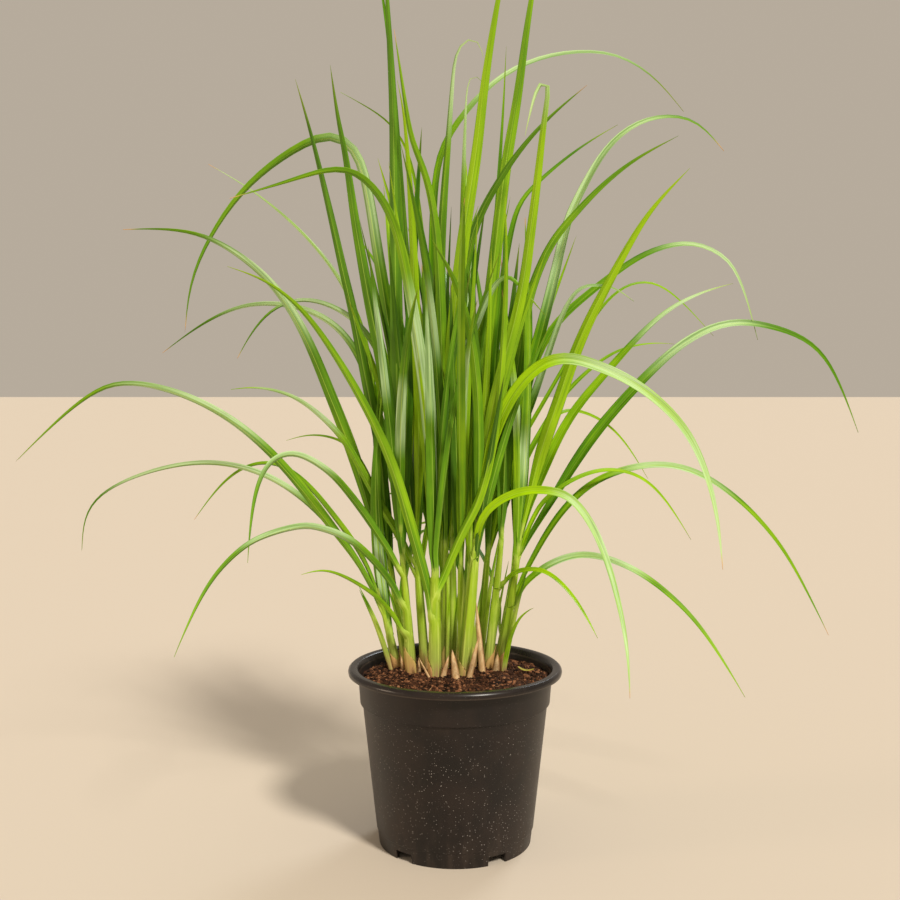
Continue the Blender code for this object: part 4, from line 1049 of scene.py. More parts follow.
def husk_finish(greens):
    """A dead sheath at the foot: papery tan with a pale sheen painted down its middle as a highlight,
    red-brown and darkened by painted shade towards its margins.
    """
    husk = Finish("dry_sheath", **{"IOR": 1.45, "Specular IOR Level": 0.3})
    along, across, half, seed = husk.traits("along", "across", "half", "seed")
    reach = across * half
    grain = husk.noise(husk.point(reach, along * 0.006, seed * 3.1), 1900.0, 2.0)
    broad = husk.noise(husk.point(reach, along * 0.02, seed * 6.7), 420.0, 2.0)
    blotch = husk.noise(husk.place, 160.0, 3.0)
    husk.wear("Base Color", husk.layered(
        greens.husk_pale,
        (broad.between(0.3, 0.7) * 0.7, greens.husk),
        # Darker towards the margins, partly red-brown margins and partly painted shade where the curled sheath
        # turns away; the paler middle is a painted highlight
        (abs(across).between(0.3, 0.95) * 0.75, greens.husk_edge),
        (grain.between(0.5, 0.72) * 0.4, greens.husk_edge),
        (blotch.between(0.58, 0.72) * 0.35, greens.husk_deep),
        (along.between(0.85, 1.0) * 0.4, greens.husk_deep),
    ))
    husk.wear("Roughness", 0.5 + 0.3 * broad)
    husk.relief(grain * 0.6 + blotch * 0.3, 0.25 * MM, 0.7)
    return husk.material


def pot_finish(look):
    """Black moulded plastic: satin, a little dusty near the foot, with pale specks of dried splashes, and a
    pale line of dust and painted highlight along the lip's lower edge.
    """
    pot = Finish("black_pot", **{"IOR": 1.5, "Specular IOR Level": 0.32})
    x, y, z = pot.parts(pot.place)
    cloud = pot.noise(pot.place, 22.0, 3.0, 0.6)
    smear = pot.noise(pot.point(x, y, z * 0.22), 90.0, 3.0, 0.65)
    pores = pot.noise(pot.place, 1500.0, 2.0)
    scuffs = pot.noise(pot.point(x, y, z * 6.0), 240.0, 3.0, 0.6)
    size = pot.parts(pot.cells(pot.place, FLECK_CELLS, out="Color"))[0]
    flecks = pot.cells(pot.place, FLECK_CELLS) + 0.16 * size
    sparse = pot.noise(pot.place, 18.0, 3.0).between(0.3, 0.55) * (1 - z.between(*SPECKED_TO) * 0.85)
    specks = (1 - flecks.between(0.13, 0.25)) * sparse
    drops = (1 - pot.cells(pot.place, SPLASH_CELLS).between(0.03, 0.055)) * cloud.between(0.45, 0.6)
    dust = (1 - z.between(0.0, DUSTY_TO)) * smear.between(0.42, 0.72) * 0.6 + smear.between(0.55, 0.85) * 0.25
    # A pale line of dust and painted highlight along the lip's lower edge
    lip_edge_dust_and_highlight = (1 - abs(z - LIP_EDGE_Z).between(*LIP_EDGE)) * smear.between(0.2, 0.5)
    pot.wear("Base Color", pot.layered(
        look.deep,
        (cloud.between(0.3, 0.7), look.body),
        (dust * 0.55, look.dust),
        (lip_edge_dust_and_highlight * 0.5, look.dust),
        ((specks * look.speck_share).least(1.0), look.speck),
        ((drops * look.speck_share).least(1.0), look.speck),
    ))
    lip = z.between(*LIP_BAND)
    pot.wear("Roughness", look.roughness + 0.16 * (cloud - 0.5) + 0.25 * dust + 0.2 * specks - 0.15 * lip)
    pot.relief(pores * 0.35 + scuffs * 0.45, 0.05 * MM, 0.55)
    return pot.material


def soil_finish(look):
    """Peat, bark and coir: each crumb has its own tone from near black through red-brown to straw."""
    soil = Finish("potting_mix", **{"IOR": 1.4, "Specular IOR Level": 0.18})
    tone, = soil.traits("tone")
    grit = soil.noise(soil.place, 950.0, 3.0, 0.65)
    clods = soil.noise(soil.place, 75.0, 3.0, 0.6)
    fine = soil.noise(soil.place, 2400.0, 2.0)
    lit = (tone * 0.95 + (grit - 0.5) * 0.8 + (clods - 0.5) * 0.9 - 0.1).most(0.0)
    stops = [(0.0, look.deep), (0.42, look.middle), (0.82, look.light), (0.95, look.light), (1.0, look.straw)]
    soil.wear("Base Color", soil.ramp(lit, *stops))
    soil.wear("Roughness", 0.82 + 0.15 * grit)
    soil.relief(grit + fine * 0.5, 0.5 * MM, 0.9)
    return soil.material


def floor_finish(colour):
    """A plain pale studio floor, matt, with a faint cloud in its tone."""
    floor = Finish("studio_floor", **{"Roughness": 0.95, "Specular IOR Level": 0.05})
    cloud = floor.noise(floor.place, 3.0, 2.0)
    floor.wear("Base Color", floor.blend(cloud * 0.12, colour, FLOOR_CLOUD))
    return floor.material


# Leaves


def leaf_tree():
    """Gives each chain of stations the leaf's section: flat, folded or wrapped, with a rib below it."""
    grow, given = new_tree("leaf", {"Section points": "Int", "Rib height": "Float", "Finish": "Material"})

    def read(name, kind="FLOAT"):
        return grow.add("GeometryNodeInputNamedAttribute", {"data_type": kind}, {"Name": name})

    def moved(place, way, distance):
        steps = {0: place, 1: grow.scaled(read(way, "FLOAT_VECTOR"), distance)}
        return grow.add("ShaderNodeVectorMath", {"operation": "ADD"}, steps)

    place = grow.add("GeometryNodeInputPosition")
    chains = grow.add("GeometryNodeMeshToCurve", values={"Mesh": given})
    chains = grow.stored(chains, "spine", place, "FLOAT_VECTOR")
    circle = {"Resolution": grow.also(given, "Section points"), "Radius": 1.0}
    ring = grow.add("GeometryNodeCurvePrimitiveCircle", {"mode": "RADIUS"}, circle)
    x = grow.add("ShaderNodeSeparateXYZ", values={0: place}, out="X")
    ring = grow.stored(ring, "across", x.sign() * abs(x) ** EDGE_CROWDING)
    ring = grow.stored(ring, "depth", grow.also(x, "Y"))
    swept = {"Curve": chains, "Profile Curve": ring, "Fill Caps": True}
    skin = grow.add("GeometryNodeCurveToMesh", values=swept)

    across, depth, half, wrap = read("across"), read("depth"), read("half"), read("wrap").most(FLATTEST)
    radius = 2 * half / wrap
    angle = across * wrap * 0.5
    crest = (1 - abs(across) * RIB_NARROWNESS).most(0.0) * (0 - depth).most(0.0) * (1 - read("sheath"))
    rise = depth * read("thick") + read("spiral") * across - crest * grow.also(given, "Rib height")
    out = radius * angle.sine() - angle.sine() * rise
    up = radius * (1 - angle.cosine()) + read("fold") * half * abs(across) + angle.cosine() * rise
    skin = grow.add("GeometryNodeSetPosition", values={
        "Geometry": skin,
        "Position": moved(moved(read("spine", "FLOAT_VECTOR"), "side", out), "face", up),
    })
    skin = grow.add("GeometryNodeSetShadeSmooth", values={"Geometry": skin})
    grow.finished(skin, grow.also(given, "Finish"))
    return grow.tree


LEAF_TRAITS = ("along", "across", "depth", "half", "sheath", "tint", "pale", "dry", "seed")


def leaf_mesh(name, chains):
    """The stations as a mesh of open chains, with every measure stored on its points."""
    mesh = bpy.data.meshes.new(name)
    stations = [station for chain in chains for station in chain]
    edges, start = [], 0
    for chain in chains:
        edges += [(start + i, start + i + 1) for i in range(len(chain) - 1)]
        start += len(chain)
    mesh.from_pydata([station.place for station in stations], edges, [])
    for field in Station._fields[1:]:
        values = [getattr(station, field) for station in stations]
        if field in ("side", "face"):
            store = mesh.attributes.new(field, "FLOAT_VECTOR", "POINT")
            store.data.foreach_set("vector", [part for value in values for part in value])
        else:
            store = mesh.attributes.new(field, "FLOAT", "POINT")
            store.data.foreach_set("value", [float(value) for value in values])
    return mesh


def grow_leaves(name, chains, tree, settings, finish, slot, *nodes):
    """A piece of leaves, one along each chain."""
    piece = add_object(name, leaf_mesh(name, chains))
    grown(piece, tree, {
        "Section points": settings.section_points,
        "Rib height": settings.rib_height,
        "Finish": finish,
    })
    keep_attributes(piece.data, LEAF_TRAITS)
    turn_outwards(piece.data)
    settle(piece, slot, *nodes)


def eased(value, low, high):
    share = min(1.0, max(0.0, (value - low) / (high - low)))
    return share * share * (3 - 2 * share)


def resampled(path, steps):
    """The path's points at the given distances, with the way it runs and the share of its length at each."""
    lengths = distances(path)

    def point(distance):
        distance = min(max(distance, 0.0), lengths[-1])
        i = 0
        while i < len(path) - 2 and lengths[i + 1] < distance:
            i += 1
        return path[i].lerp(path[i + 1], (distance - lengths[i]) / max(lengths[i + 1] - lengths[i], 1e-9))

    found = []
    for step in steps:
        tangent = (point(step + TANGENT_REACH) - point(step - TANGENT_REACH)).normalized()
        found.append((point(step), tangent, min(1.0, step / lengths[-1])))
    return found


def softened(path):
    """The path with its small kinks eased out and its ends where they were."""
    for _ in range(SOFTENINGS):
        path = [path[0]] + [(a + b * 2 + c) / 4 for a, b, c in zip(path, path[1:], path[2:])] + [path[-1]]
    return path


def blade_steps(total):
    near = [step * MM for step in NEAR_STEPS if step * MM < 0.5 * total]
    rest = total - near[-1]
    return near + [near[-1] + rest * i / FAR_STEPS for i in range(1, FAR_STEPS + 1)]


def leaf_chain(leaf, stalk, layer, seed):
    """One leaf from the foot of its sheath, round the stalk, out along the blade to its tip."""
    path = softened(leaf.path)
    total = distances(path)[-1]
    ring_share = max(SHEATH_INNER, 1 - (SHEATH_GAP + SHEATH_LAYER * layer) / stalk.radius)
    tint, pale_from, pale_to = leaf.look
    stations = []
    for place, tangent, along in resampled(path, blade_steps(distances(leaf.path)[-1])):
        side, face = rolled(leaf.face, leaf.roll, place, tangent, along)
        face = face * leaf.up
        run = along * total
        ring = ring_share * stalk.radius_at(min(place.z, stalk.top.z))
        opening = eased(run, MOUTH_FROM, MOUTH_LEN)
        flattening = eased(run, MOUTH_LEN * 0.6, FLAT_LEN)
        wrap = (SHEATH_WRAP + (MOUTH_WRAP - SHEATH_WRAP) * opening) * (1 - flattening)
        blade_half = 0.5 * leaf.width * width_at(along, leaf.root_share)
        half = 0.5 * SHEATH_WRAP * ring + (blade_half - 0.5 * SHEATH_WRAP * ring) * opening
        pale = eased(along, pale_from - 0.06, pale_from + 0.04)
        pale *= 1 - eased(along, pale_to - 0.04, pale_to + 0.06)
        stations.append(Station(
            place=place - face * (ring * (1 - eased(run, 2 * MM, FLAT_LEN))), side=side, face=face,
            half=max(half, LEAST_HALF), wrap=wrap,
            fold=LEAF_FOLD * eased(run, MOUTH_LEN, FLAT_LEN) * (1 - TIP_UNFOLDING * along),
            thick=LEAF_THICK * (1 - TIP_THINNING * along), spiral=SHEATH_SPIRAL * (1 - opening), along=along,
            sheath=1 - eased(run, 3 * MM, 1.6 * MOUTH_LEN), tint=tint, pale=pale,
            dry=eased(along, *TIP_DRY_BAND) if seed < TIP_DRY_SHARE else 0.0, seed=seed,
        ))
    first = stations[0]
    face, side = stalk.about(first.face)
    if side.dot(first.side) < 0:
        side = -side
    sheath = []
    for i in range(SHEATH_STATIONS):
        z = SHEATH_LOW_Z + (leaf.path[0].z - SHEATH_LOW_Z) * i / SHEATH_STATIONS
        ring = ring_share * stalk.radius_at(z)
        sheath.append(first._replace(
            place=stalk.at(z) - face * ring, side=side, face=face, half=0.5 * SHEATH_WRAP * ring,
            wrap=SHEATH_WRAP, dry=0.0, sheath=1.0, along=0.0,
        ))
    return sheath + stations


def core_chain(stalk, seed):
    """The rolled heart of a stem, seen where its leaves part."""
    face, side = stalk.about(Vector((0.0, 1.0, 0.0)))
    chain = []
    for i in range(CORE_STEPS + 1):
        share = i / CORE_STEPS
        z = SHEATH_LOW_Z + (stalk.top.z - SHEATH_LOW_Z) * i / CORE_STEPS
        ring = CORE_SHARE * stalk.radius_at(z) * (1 - 0.9 * eased(share, 0.75, 1.0))
        chain.append(Station(
            stalk.at(z) - face * ring, side, face, 0.5 * SHEATH_WRAP * ring, SHEATH_WRAP,
            spiral=SHEATH_SPIRAL, along=share * 0.5, tint=CORE_TINT, seed=seed,
        ))
    return chain


def husk_chain(stalk, turn, top_z, swell, shade, seed):
    """A short outer sheath that clasps the foot and ends in a torn point."""
    face, side = stalk.about(level_way(turn))
    chain = []
    for i in range(HUSK_STATIONS + 1):
        share = i / HUSK_STATIONS
        z = SHEATH_LOW_Z + (top_z - SHEATH_LOW_Z) * share
        ring = stalk.radius_at(z) + swell * (0.4 + 0.6 * share)
        wrap = HUSK_WRAP * (1 - eased(share, 0.35, 1.02) * 0.97)
        chain.append(Station(
            stalk.at(z) - face * (ring + HUSK_FLARE * share ** 4), side, face, 0.5 * wrap * ring, wrap,
            spiral=0.5 * SHEATH_SPIRAL * (1 - share), along=share, tint=HUSK_TINT, dry=shade, seed=seed,
        ))
    return chain


def stem_chains(stalk, leaves, husk_shade, draw):
    """A stem's leaves with the highest joint innermost, its heart and its outer husks."""
    ordered = sorted(leaves, key=lambda leaf: leaf.path[0].z)
    chains = [leaf_chain(leaf, stalk, layer, draw.random()) for layer, leaf in enumerate(ordered)]
    chains.append(core_chain(stalk, draw.random()))
    for swell in HUSK_SWELLS:
        turn = draw.uniform(0.0, math.tau)
        top_z = SOIL_TOP + draw.uniform(*HUSK_RISE) * MM
        shade = husk_shade * draw.uniform(0.7, 1.0)
        chains.append(husk_chain(stalk, turn, top_z, swell, shade, draw.random()))
    return chains


def filling_chains(filling, stalks, draw):
    """Thin leaves that rise close beside the stems, fanned out a little like their neighbours."""
    chains = []
    for index in range(filling.count):
        stalk = stalks[filling.stems[index * STEM_STRIDE % len(filling.stems)]]
        out = level_way(draw.uniform(0.0, math.tau))
        spans = (filling.width, filling.rise, filling.start)
        width, rise, start = (draw.uniform(*span) * MM for span in spans)
        foot = stalk.at(start) + out * (stalk.radius_at(start) + filling.apart * width)
        lean = (stalk.lean + out * draw.uniform(*filling.lean)).normalized()
        bend = out * draw.uniform(0.0, MOST_BEND) * min(rise, LONGEST_BEND)
        points = [foot + lean * (share * rise) + bend * bent for share, bent in FILLING_BENDS]
        tint, seed = draw.uniform(*filling.tint), draw.random()
        chains.append(strip_chain(points, width, tint, seed, filling.curl, filling.sheathed, filling.foot))
    return chains


def strip_chain(points, width, tint, seed, curl, sheathed=0.3, foot=1.0, facing=face_eye):
    """A narrow pointed leaf or dead sheath along its own path, its foot given as a share of its width."""
    path = smooth_path(points)
    total = distances(path)[-1]
    chain = []
    for place, tangent, along in resampled(path, [total * i / STRIP_STEPS for i in range(STRIP_STEPS + 1)]):
        side = facing(place, tangent)
        face = side.cross(tangent).normalized()
        swell = foot + (1 - foot) * eased(along, 0.0, 0.4)
        half = max(0.64 * width * swell * (1 - along ** 2) ** 0.8, LEAST_HALF)
        clasp = 1 - eased(along, 0.6 * sheathed, sheathed) if sheathed else 0.0
        chain.append(Station(
            place, side, face, half, curl * (1 - STRIP_UNCURLING * along),
            along=along, sheath=clasp, tint=tint, seed=seed,
        ))
    return chain


def shoot_chain():
    """The young blade, from its own foot along its route."""
    x, y = SHOOT_FOOT
    low = at_depth(x, SOIL_TOP / MM, y)
    points = [low - Vector((0.0, 0.0, SHEATH_DEPTH)), low]
    for index, (x, z) in enumerate(SHOOT_ROUTE):
        points.append(at_depth(x, z, y + (SHOOT_TIP_Y - y) * ((index + 1) / len(SHOOT_ROUTE))))
    return strip_chain(points, SHOOT_WIDTH * MM, tint=0.9, seed=0.4, curl=0.9)


def scrap_chain():
    """A short bit of yellowed leaf, lying on the soil with its ends turned up."""
    way = level_way(SCRAP_TURN)
    points = []
    for share in (-0.5, -0.2, 0.15, 0.5):
        place = Vector((*SCRAP_PLACE, 0.0)) * MM + way * (share * SCRAP_LENGTH * MM)
        place.z = soil_height(place.x, place.y) + SCRAP_LIFT * (0.7 + 1.6 * share * share)
        points.append(place)
    chain = strip_chain(
        points, SCRAP_WIDTH * MM, tint=1.0, seed=0.9, curl=0.7, sheathed=0.0, foot=0.5,
        facing=face_up(SCRAP_TURN))
    return [station._replace(along=1.0, dry=0.45) for station in chain]


# Pot and potting mix


def notch_cutters():
    """A box for each drain notch round the pot's foot, as one mesh."""
    work = bmesh.new()
    size = Matrix.Diagonal((NOTCH_W, 4 * FOOT_RING, 2 * NOTCH_H, 1.0))
    box = Matrix.Translation((0.0, -FOOT_R, 0.0)) @ size
    for index in range(NOTCHES):
        turn = Matrix.Rotation(NOTCH_FIRST + index * math.tau / NOTCHES, 4, "Z")
        bmesh.ops.create_cube(work, size=1.0, matrix=turn @ box)
    return plain_mesh("notches", work)


def fine_soil(settings):
    """The mix's uneven top on a plug that fills the pot."""
    edge_r = inner_radius(SOIL_EDGE_Z) - GAP
    floor_z = FLOOR_Z + WALL + GAP
    rings = settings.rings
    profile = [(edge_r * ring / rings, SOIL_EDGE_Z) for ring in range(rings + 1)]
    for z in (COLLAR_LOW_Z + 2 * MM, COLLAR_LOW_Z - 4 * MM, floor_z + 4 * MM):
        profile.append((inner_radius(z) - 2 * GAP, z))
    profile += [(inner_radius(floor_z) - 4 * MM, floor_z), (0.0, floor_z)]
    plug = turned("potting_mix", profile, 3 * rings)
    for vertex in plug.data.vertices:
        place = vertex.co
        if place.z > SOIL_EDGE_Z - GAP:
            rough = noise.fractal(place * ROUGH_SCALE, 0.6, 2.2, 5, noise_basis="PERLIN_ORIGINAL")
            crumbly = noise.fractal(place * CRUMBLY_SCALE, 0.8, 2.1, 3, noise_basis="PERLIN_ORIGINAL")
            place.z = soil_height(place.x, place.y) + (rough + crumbly * 0.4) * settings.roughness
    return plug


def crumb_tree():
    """Scatters crumbs of mixed size over a surface, each with its own turn and tone."""
    numbers = ("Density", "Smallest", "Largest", "Length", "Tone from", "Tone to")
    inputs = {**dict.fromkeys(numbers, "Float"), "Seed": "Int", "Finish": "Material"}
    scatter, given = new_tree("crumbs", inputs)
    density, smallest, largest, length, tone_from, tone_to = (scatter.also(given, name) for name in numbers)
    seed = scatter.also(given, "Seed")

    def drawn(low, high, salt):
        vector = isinstance(low, tuple)
        values = {0 if vector else 2: low, 1 if vector else 3: high, "Seed": seed + salt}
        settings = {"data_type": "FLOAT_VECTOR" if vector else "FLOAT"}
        return scatter.add("FunctionNodeRandomValue", settings, values, out=0 if vector else 1)

    spots = {"Mesh": given, "Density": density, "Seed": seed}
    points = scatter.add("GeometryNodeDistributePointsOnFaces", values=spots)
    size = smallest + (largest - smallest) * drawn(0.0, 1.0, 1) ** 3
    stretch = scatter.add("ShaderNodeCombineXYZ", values={"X": length, "Y": 1.0, "Z": 1.0})
    shape = {0: drawn(*CRUMB_FLATNESS, 2), 1: stretch}
    shape = scatter.add("ShaderNodeVectorMath", {"operation": "MULTIPLY"}, shape)
    crumbs = scatter.add("GeometryNodeInstanceOnPoints", values={
        "Points": points,
        "Instance": scatter.add("GeometryNodeMeshIcoSphere", values={"Radius": 0.5, "Subdivisions": 1}),
        "Rotation": drawn(*CRUMB_TURN, 3),
        "Scale": scatter.scaled(shape, size),
    })
    tone = tone_from + (tone_to - tone_from) * drawn(0.0, 1.0, 4)
    crumbs = scatter.stored(crumbs, "tone", tone, domain="INSTANCE")
    crumbs = scatter.add("GeometryNodeSetShadeSmooth", values={"Geometry": crumbs, "Shade Smooth": False})
    scatter.finished(crumbs, scatter.also(given, "Finish"))
    return scatter.tree


def top_of(plug):
    """The mix's top inside a narrow edge, as a mesh to scatter on."""
    reach = inner_radius(SOIL_EDGE_Z) - SCATTER_EDGE
    work = bmesh.new()
    work.from_mesh(plug.data)
    off = []
    for face in work.faces:
        middle = face.calc_center_median()
        if face.normal.z < LEVEL_NORMAL or math.hypot(*middle.xy) > reach or middle.z < COLLAR_LOW_Z:
            off.append(face)
    bmesh.ops.delete(work, geom=off, context="FACES")
    return plain_mesh("soil_top", work)


def set_tone(mesh, low, high):
    """A soft change of tone over the mix itself."""
    clouds = [noise.noise(vertex.co * TONE_SCALE, noise_basis="PERLIN_ORIGINAL") for vertex in mesh.vertices]
    store = mesh.attributes.new("tone", "FLOAT", "POINT")
    store.data.foreach_set("value", [low + (high - low) * (cloud * 0.5 + 0.5) for cloud in clouds])


# Settings


def colour_property(name, description, default):
    return FloatVectorProperty(
        name=name, description=description, default=default, subtype="COLOR", min=0.0, max=1.0)


def number_property(name, description, default, **form):
    return FloatProperty(name=name, description=description, default=default, **form)


def width_property(name, description, degrees):
    return number_property(name, description, math.radians(degrees), min=0.0, subtype="ANGLE")


def length_property(name, description, default):
    return number_property(name, description, default, unit="LENGTH", subtype="DISTANCE")


def share_property(name, description, default):
    return number_property(name, description, default, min=0.0, max=1.0, subtype="FACTOR")


def strength_property(name, description, default):
    return number_property(name, description, default, min=0.0)


def count_property(name, description, default, least, most):
    return IntProperty(name=name, description=description, default=default, min=least, max=most)


class PotSettings(bpy.types.PropertyGroup):
    steps: count_property("Steps", "Facets round the pot", 160, 24, 256)
    rounding: length_property("Rounding", "Radius of the moulded edges", 0.45 * MM)
    roughness: share_property("Roughness", "How dull the plastic is", 0.43)
    speck_share: share_property("Specks", "How strongly the dried splashes show", 0.85)
    body: colour_property("Body", "The plastic where the light falls", (0.0190, 0.0125, 0.0103))
    deep: colour_property("Deep", "The plastic in its darker clouds", (0.0090, 0.0068, 0.0062))
    # The dust colour also paints the pale highlight along the lip's lower edge
    dust: colour_property("Dust", "Fine dried soil near the foot", (0.075, 0.055, 0.042))
    speck: colour_property("Speck", "Dried drops and lime", (0.36, 0.33, 0.31))


class SoilSettings(bpy.types.PropertyGroup):
    rings: count_property("Rings", "Rings of the mix's fine surface", 62, 20, 120)
    roughness: length_property("Relief", "Height of the mix's roughness", 2.0 * MM)
    crumbs: count_property("Crumbs", "Crumbs per square metre", 170000, 0, 330000)
    smallest: length_property("Smallest", "Smallest crumb", 1.1 * MM)
    largest: length_property("Largest", "Largest common crumb", 5.4 * MM)
    # The deep tone is partly dark peat and partly painted shade in the gaps between the crumbs
    deep: colour_property("Deep", "Wet peat in the gaps", (0.009, 0.0042, 0.0026))
    middle: colour_property("Middle", "Red-brown bark", (0.088, 0.035, 0.0165))
    light: colour_property("Light", "Dry crumbs", (0.30, 0.13, 0.062))
    straw: colour_property("Straw", "Coir and bits of straw", (0.46, 0.31, 0.16))


class LeafSettings(bpy.types.PropertyGroup):
    section_points: count_property("Section points", "Points round a leaf's section", 16, 8, 32)
    rib_height: length_property("Rib height", "How far the midrib stands out below", 0.35 * MM)
    # Between deep and bright, a blade's green is partly its age and partly painted light: sunlit blades take
    # the brighter greens, blades in the shade of others the deeper ones
    bright: colour_property("Bright", "Young blades in full light", (0.35, 0.60, 0.003))
    middle: colour_property("Middle", "Grown blades", (0.10, 0.265, 0.003))
    deep: colour_property("Deep", "Old blades", (0.017, 0.078, 0.003))
    underside: colour_property("Underside", "The lower face's cast", (0.24, 0.43, 0.04))
    # The glaucous green is the waxy bloom and also a painted sheen along the arches
    glaucous: colour_property("Glaucous", "Waxy pale stretches", (0.50, 0.70, 0.36))
    midrib: colour_property("Midrib", "Midrib and margins", (0.50, 0.70, 0.10))
    yellowed: colour_property("Yellowed", "Ageing tips", (0.40, 0.38, 0.035))
    foot: colour_property("Foot", "Sheaths at the soil", (0.45, 0.27, 0.13))
    sheath_low: colour_property("Low sheath", "Sheaths just above the soil", (0.38, 0.45, 0.085))
    sheath: colour_property("Sheath", "The stalk's middle", (0.38, 0.56, 0.03))
    sheath_top: colour_property("Top of sheath", "Sheaths where the blades leave", (0.27, 0.46, 0.02))
    sheath_light: colour_property("Light streak", "Waxy light along a sheath", (0.68, 0.80, 0.17))
    sheath_vein: colour_property("Sheath vein", "Green veins of a sheath", (0.12, 0.28, 0.01))
    husk: colour_property("Husk", "Dead sheaths", (0.66, 0.37, 0.145))
    # The pale husk is partly a painted highlight down a dead sheath's middle, and the husk edge is partly
    # painted shade at its curled margins
    husk_pale: colour_property("Pale husk", "Bleached parts of dead sheaths", (0.88, 0.66, 0.37))
    husk_edge: colour_property("Husk edge", "Margins of dead sheaths", (0.30, 0.12, 0.035))
    husk_deep: colour_property("Deep husk", "Rotting parts of dead sheaths", (0.13, 0.055, 0.022))


class StudioSettings(bpy.types.PropertyGroup):
    key: strength_property("Key light", "Strength of the high light on the right", 3.1)
    key_width: width_property("Key width", "How soft the key light's shadows are", 10)
    fill: strength_property("Fill light", "Strength of the low light on the left", 0.9)
    fill_width: width_property("Fill width", "How soft the fill light is", 14)
    back: strength_property("Back light", "Strength of the light behind", 0.9)
    back_width: width_property("Back width", "How soft the back light is", 18)
    sky: strength_property("Sky", "Strength of the pale surroundings", 0.47)
    floor: colour_property("Floor", "The studio floor", (0.60, 0.525, 0.435))


# Operators


class PLANT_OT_pot(bpy.types.Operator):
    """Turns the pot with its rolled lip, collar and drain notches"""

    bl_idname = "plant.pot"
    bl_label = "Nursery pot"

    def execute(self, context):
        settings = context.scene.plant_pot
        pot = turned("nursery_pot", pot_profile(), settings.steps)
        turn_outwards(pot.data)
        cutter = add_object("notches", notch_cutters())
        cut = pot.modifiers.new("notches", "BOOLEAN")
        cut.operation = "DIFFERENCE"
        cut.solver = "EXACT"
        cut.object = cutter
        rounded = pot.modifiers.new("edges", "BEVEL")
        rounded.width = settings.rounding
        rounded.segments = 2
        rounded.limit_method = "ANGLE"
        rounded.angle_limit = EDGE_ANGLE
        apply_modifiers(pot)
        bpy.data.objects.remove(cutter)
        dress(pot, pot_finish(settings))
        pot.data.set_sharp_from_angle(angle=SHARP_ANGLE)
        settle(pot, "pot", "pot")
        return {"FINISHED"}


class PLANT_OT_soil(bpy.types.Operator):
    """Fills the pot with potting mix and scatters its crumbs, lumps and straws"""

    bl_idname = "plant.soil"
    bl_label = "Potting mix"

    def execute(self, context):
        settings = context.scene.plant_soil
        finish = soil_finish(settings)
        plug = fine_soil(settings)
        turn_outwards(plug.data)
        # The mix between the crumbs keeps to the darker tones, painted shade in the gaps
        set_tone(plug.data, *GAP_SHADED_MIX_TONES)
        dress(plug, finish)
        settle(plug, "soil", "soil")
        top = top_of(plug)
        tree = crumb_tree()
        crumbs = Scatter(settings.crumbs, settings.smallest, settings.largest, 1.0, CRUMB_TONES, CRUMB_SEED)
        for name, kind in (("soil_crumbs", crumbs), ("soil_lumps", LUMPS), ("soil_straws", STRAWS)):
            piece = add_object(name, top.copy())
            grown(piece, tree, {
                "Density": float(kind.count), "Smallest": kind.smallest, "Largest": kind.largest,
                "Length": kind.length, "Tone from": kind.tones[0], "Tone to": kind.tones[1],
                "Seed": kind.seed, "Finish": finish,
            })
            turn_outwards(piece.data)
            settle(piece, "soil")
        return {"FINISHED"}


class PLANT_OT_stems(bpy.types.Operator):
    """Grows every stem: its sheaths wrapped round each other, and their blades out to the tips"""

    bl_idname = "plant.stems"
    bl_label = "Leafy stems"

    def execute(self, context):
        settings = context.scene.plant_leaf
        stalks = {name: Stalk(stem) for name, stem in STEMS.items()}
        clump = Clump(stalks)
        lay_seen(clump)
        lay_fillers(clump)
        tree = leaf_tree()
        finish = leaf_finish(settings)
        draw = random.Random(SEED + 2)
        for name, stalk in stalks.items():
            chains = stem_chains(stalk, clump.leaves[name], HUSK_SHADES.get(name, HUSK_SHADE), draw)
            grow_leaves(f"leafy_stem_{name}", chains, tree, settings, finish, "leaf", f"stem_{name}")
        for title, filling in FILLINGS.items():
            grow_leaves(title, filling_chains(filling, stalks, draw), tree, settings, finish, "leaf")
        grow_leaves("young_shoot", [shoot_chain()], tree, settings, finish, "leaf", "shoot")
        grow_leaves("leaf_scrap", [scrap_chain()], tree, settings, finish, "leaf")
        return {"FINISHED"}


class PLANT_OT_husks(bpy.types.Operator):
    """Stands the dead sheaths round the foot of the clump"""

    bl_idname = "plant.husks"
    bl_label = "Dead sheaths"

    def execute(self, context):
        settings = context.scene.plant_leaf
        tree = leaf_tree()
        finish = husk_finish(settings)
        for name, sheath in SHEATHS.items():
            chain = strip_chain(
                sheath_points(sheath), sheath.width * MM, tint=0.5, seed=0.1 * int(name), curl=STRIP_WRAP)
            grow_leaves(f"dead_sheath_{name}", [chain], tree, settings, finish, "dry", f"dry_sheath_{name}")
        return {"FINISHED"}


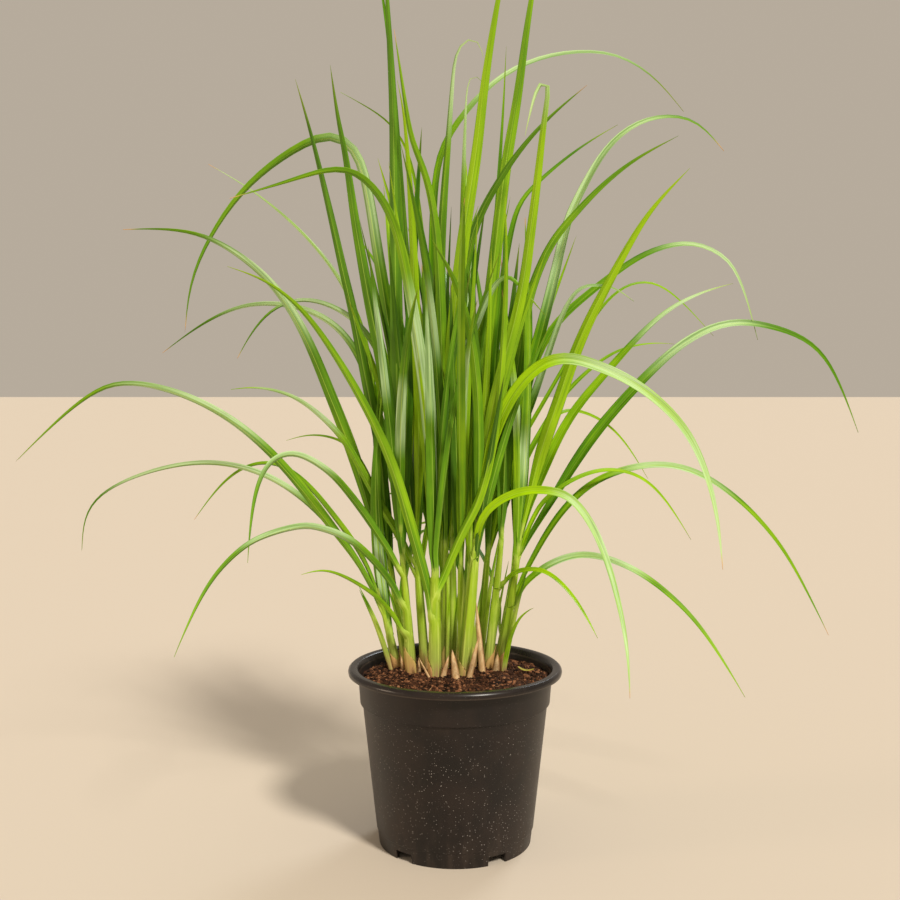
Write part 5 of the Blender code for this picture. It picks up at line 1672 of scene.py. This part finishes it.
class PLANT_OT_studio(bpy.types.Operator):
    """Lays the pale floor and sets the soft lights and the camera"""

    bl_idname = "plant.studio"
    bl_label = "Studio"

    def execute(self, context):
        settings = context.scene.plant_studio
        scene = context.scene
        mesh = bpy.data.meshes.new("studio_floor")
        corners = [(x * FLOOR_REACH, y * FLOOR_REACH, 0) for x, y in ((-1, -1), (1, -1), (1, 1), (-1, 1))]
        mesh.from_pydata(corners, [], [(0, 1, 2, 3)])
        mesh.materials.append(floor_finish(settings.floor))
        add_object("studio_floor", mesh)
        world = bpy.data.worlds.new("studio")
        world.use_nodes = True
        sky = world.node_tree.nodes["Background"]
        sky.inputs["Color"].default_value = SKY_COLOUR
        sky.inputs["Strength"].default_value = settings.sky
        scene.world = world
        scene.view_settings.view_transform = "Standard"
        for name, (place, colour) in LIGHTS.items():
            light = bpy.data.lights.new(name, "SUN")
            light.angle = getattr(settings, f"{name}_width")
            light.energy = getattr(settings, name)
            light.color = colour
            lamp = add_object(name, light)
            lamp.location = place
            lamp.rotation_euler = (LIGHT_AIM - place).to_track_quat("-Z", "Y").to_euler()
        lens = bpy.data.cameras.new("camera")
        lens.lens = EYE_LENS
        lens.sensor_width = EYE_SENSOR
        camera = add_object("camera", lens)
        camera.location = EYE
        camera.rotation_euler = (math.radians(90) - EYE_TILT, 0.0, 0.0)
        scene.camera = camera
        return {"FINISHED"}


class PLANT_PT_panel(bpy.types.Panel):
    """Lists the plant's pieces in the order that they are made"""

    bl_label = "Lemongrass"
    bl_idname = "PLANT_PT_panel"
    bl_space_type = "VIEW_3D"
    bl_region_type = "UI"
    bl_category = "Lemongrass"

    def draw(self, context):
        for operator in OPERATORS:
            self.layout.operator(operator.bl_idname)


SETTINGS = {
    "plant_pot": PotSettings,
    "plant_soil": SoilSettings,
    "plant_leaf": LeafSettings,
    "plant_studio": StudioSettings,
}
OPERATORS = (PLANT_OT_pot, PLANT_OT_soil, PLANT_OT_stems, PLANT_OT_husks, PLANT_OT_studio)


def register():
    for name, group in SETTINGS.items():
        bpy.utils.register_class(group)
        setattr(bpy.types.Scene, name, PointerProperty(type=group))
    for operator in OPERATORS:
        bpy.utils.register_class(operator)
    bpy.utils.register_class(PLANT_PT_panel)


def unregister():
    bpy.utils.unregister_class(PLANT_PT_panel)
    for operator in reversed(OPERATORS):
        bpy.utils.unregister_class(operator)
    for name, group in SETTINGS.items():
        delattr(bpy.types.Scene, name)
        bpy.utils.unregister_class(group)


def main():
    register()
    bpy.ops.plant.pot()
    bpy.ops.plant.soil()
    bpy.ops.plant.stems()
    bpy.ops.plant.husks()
    bpy.ops.plant.studio()


if __name__ == "__main__":
    main()
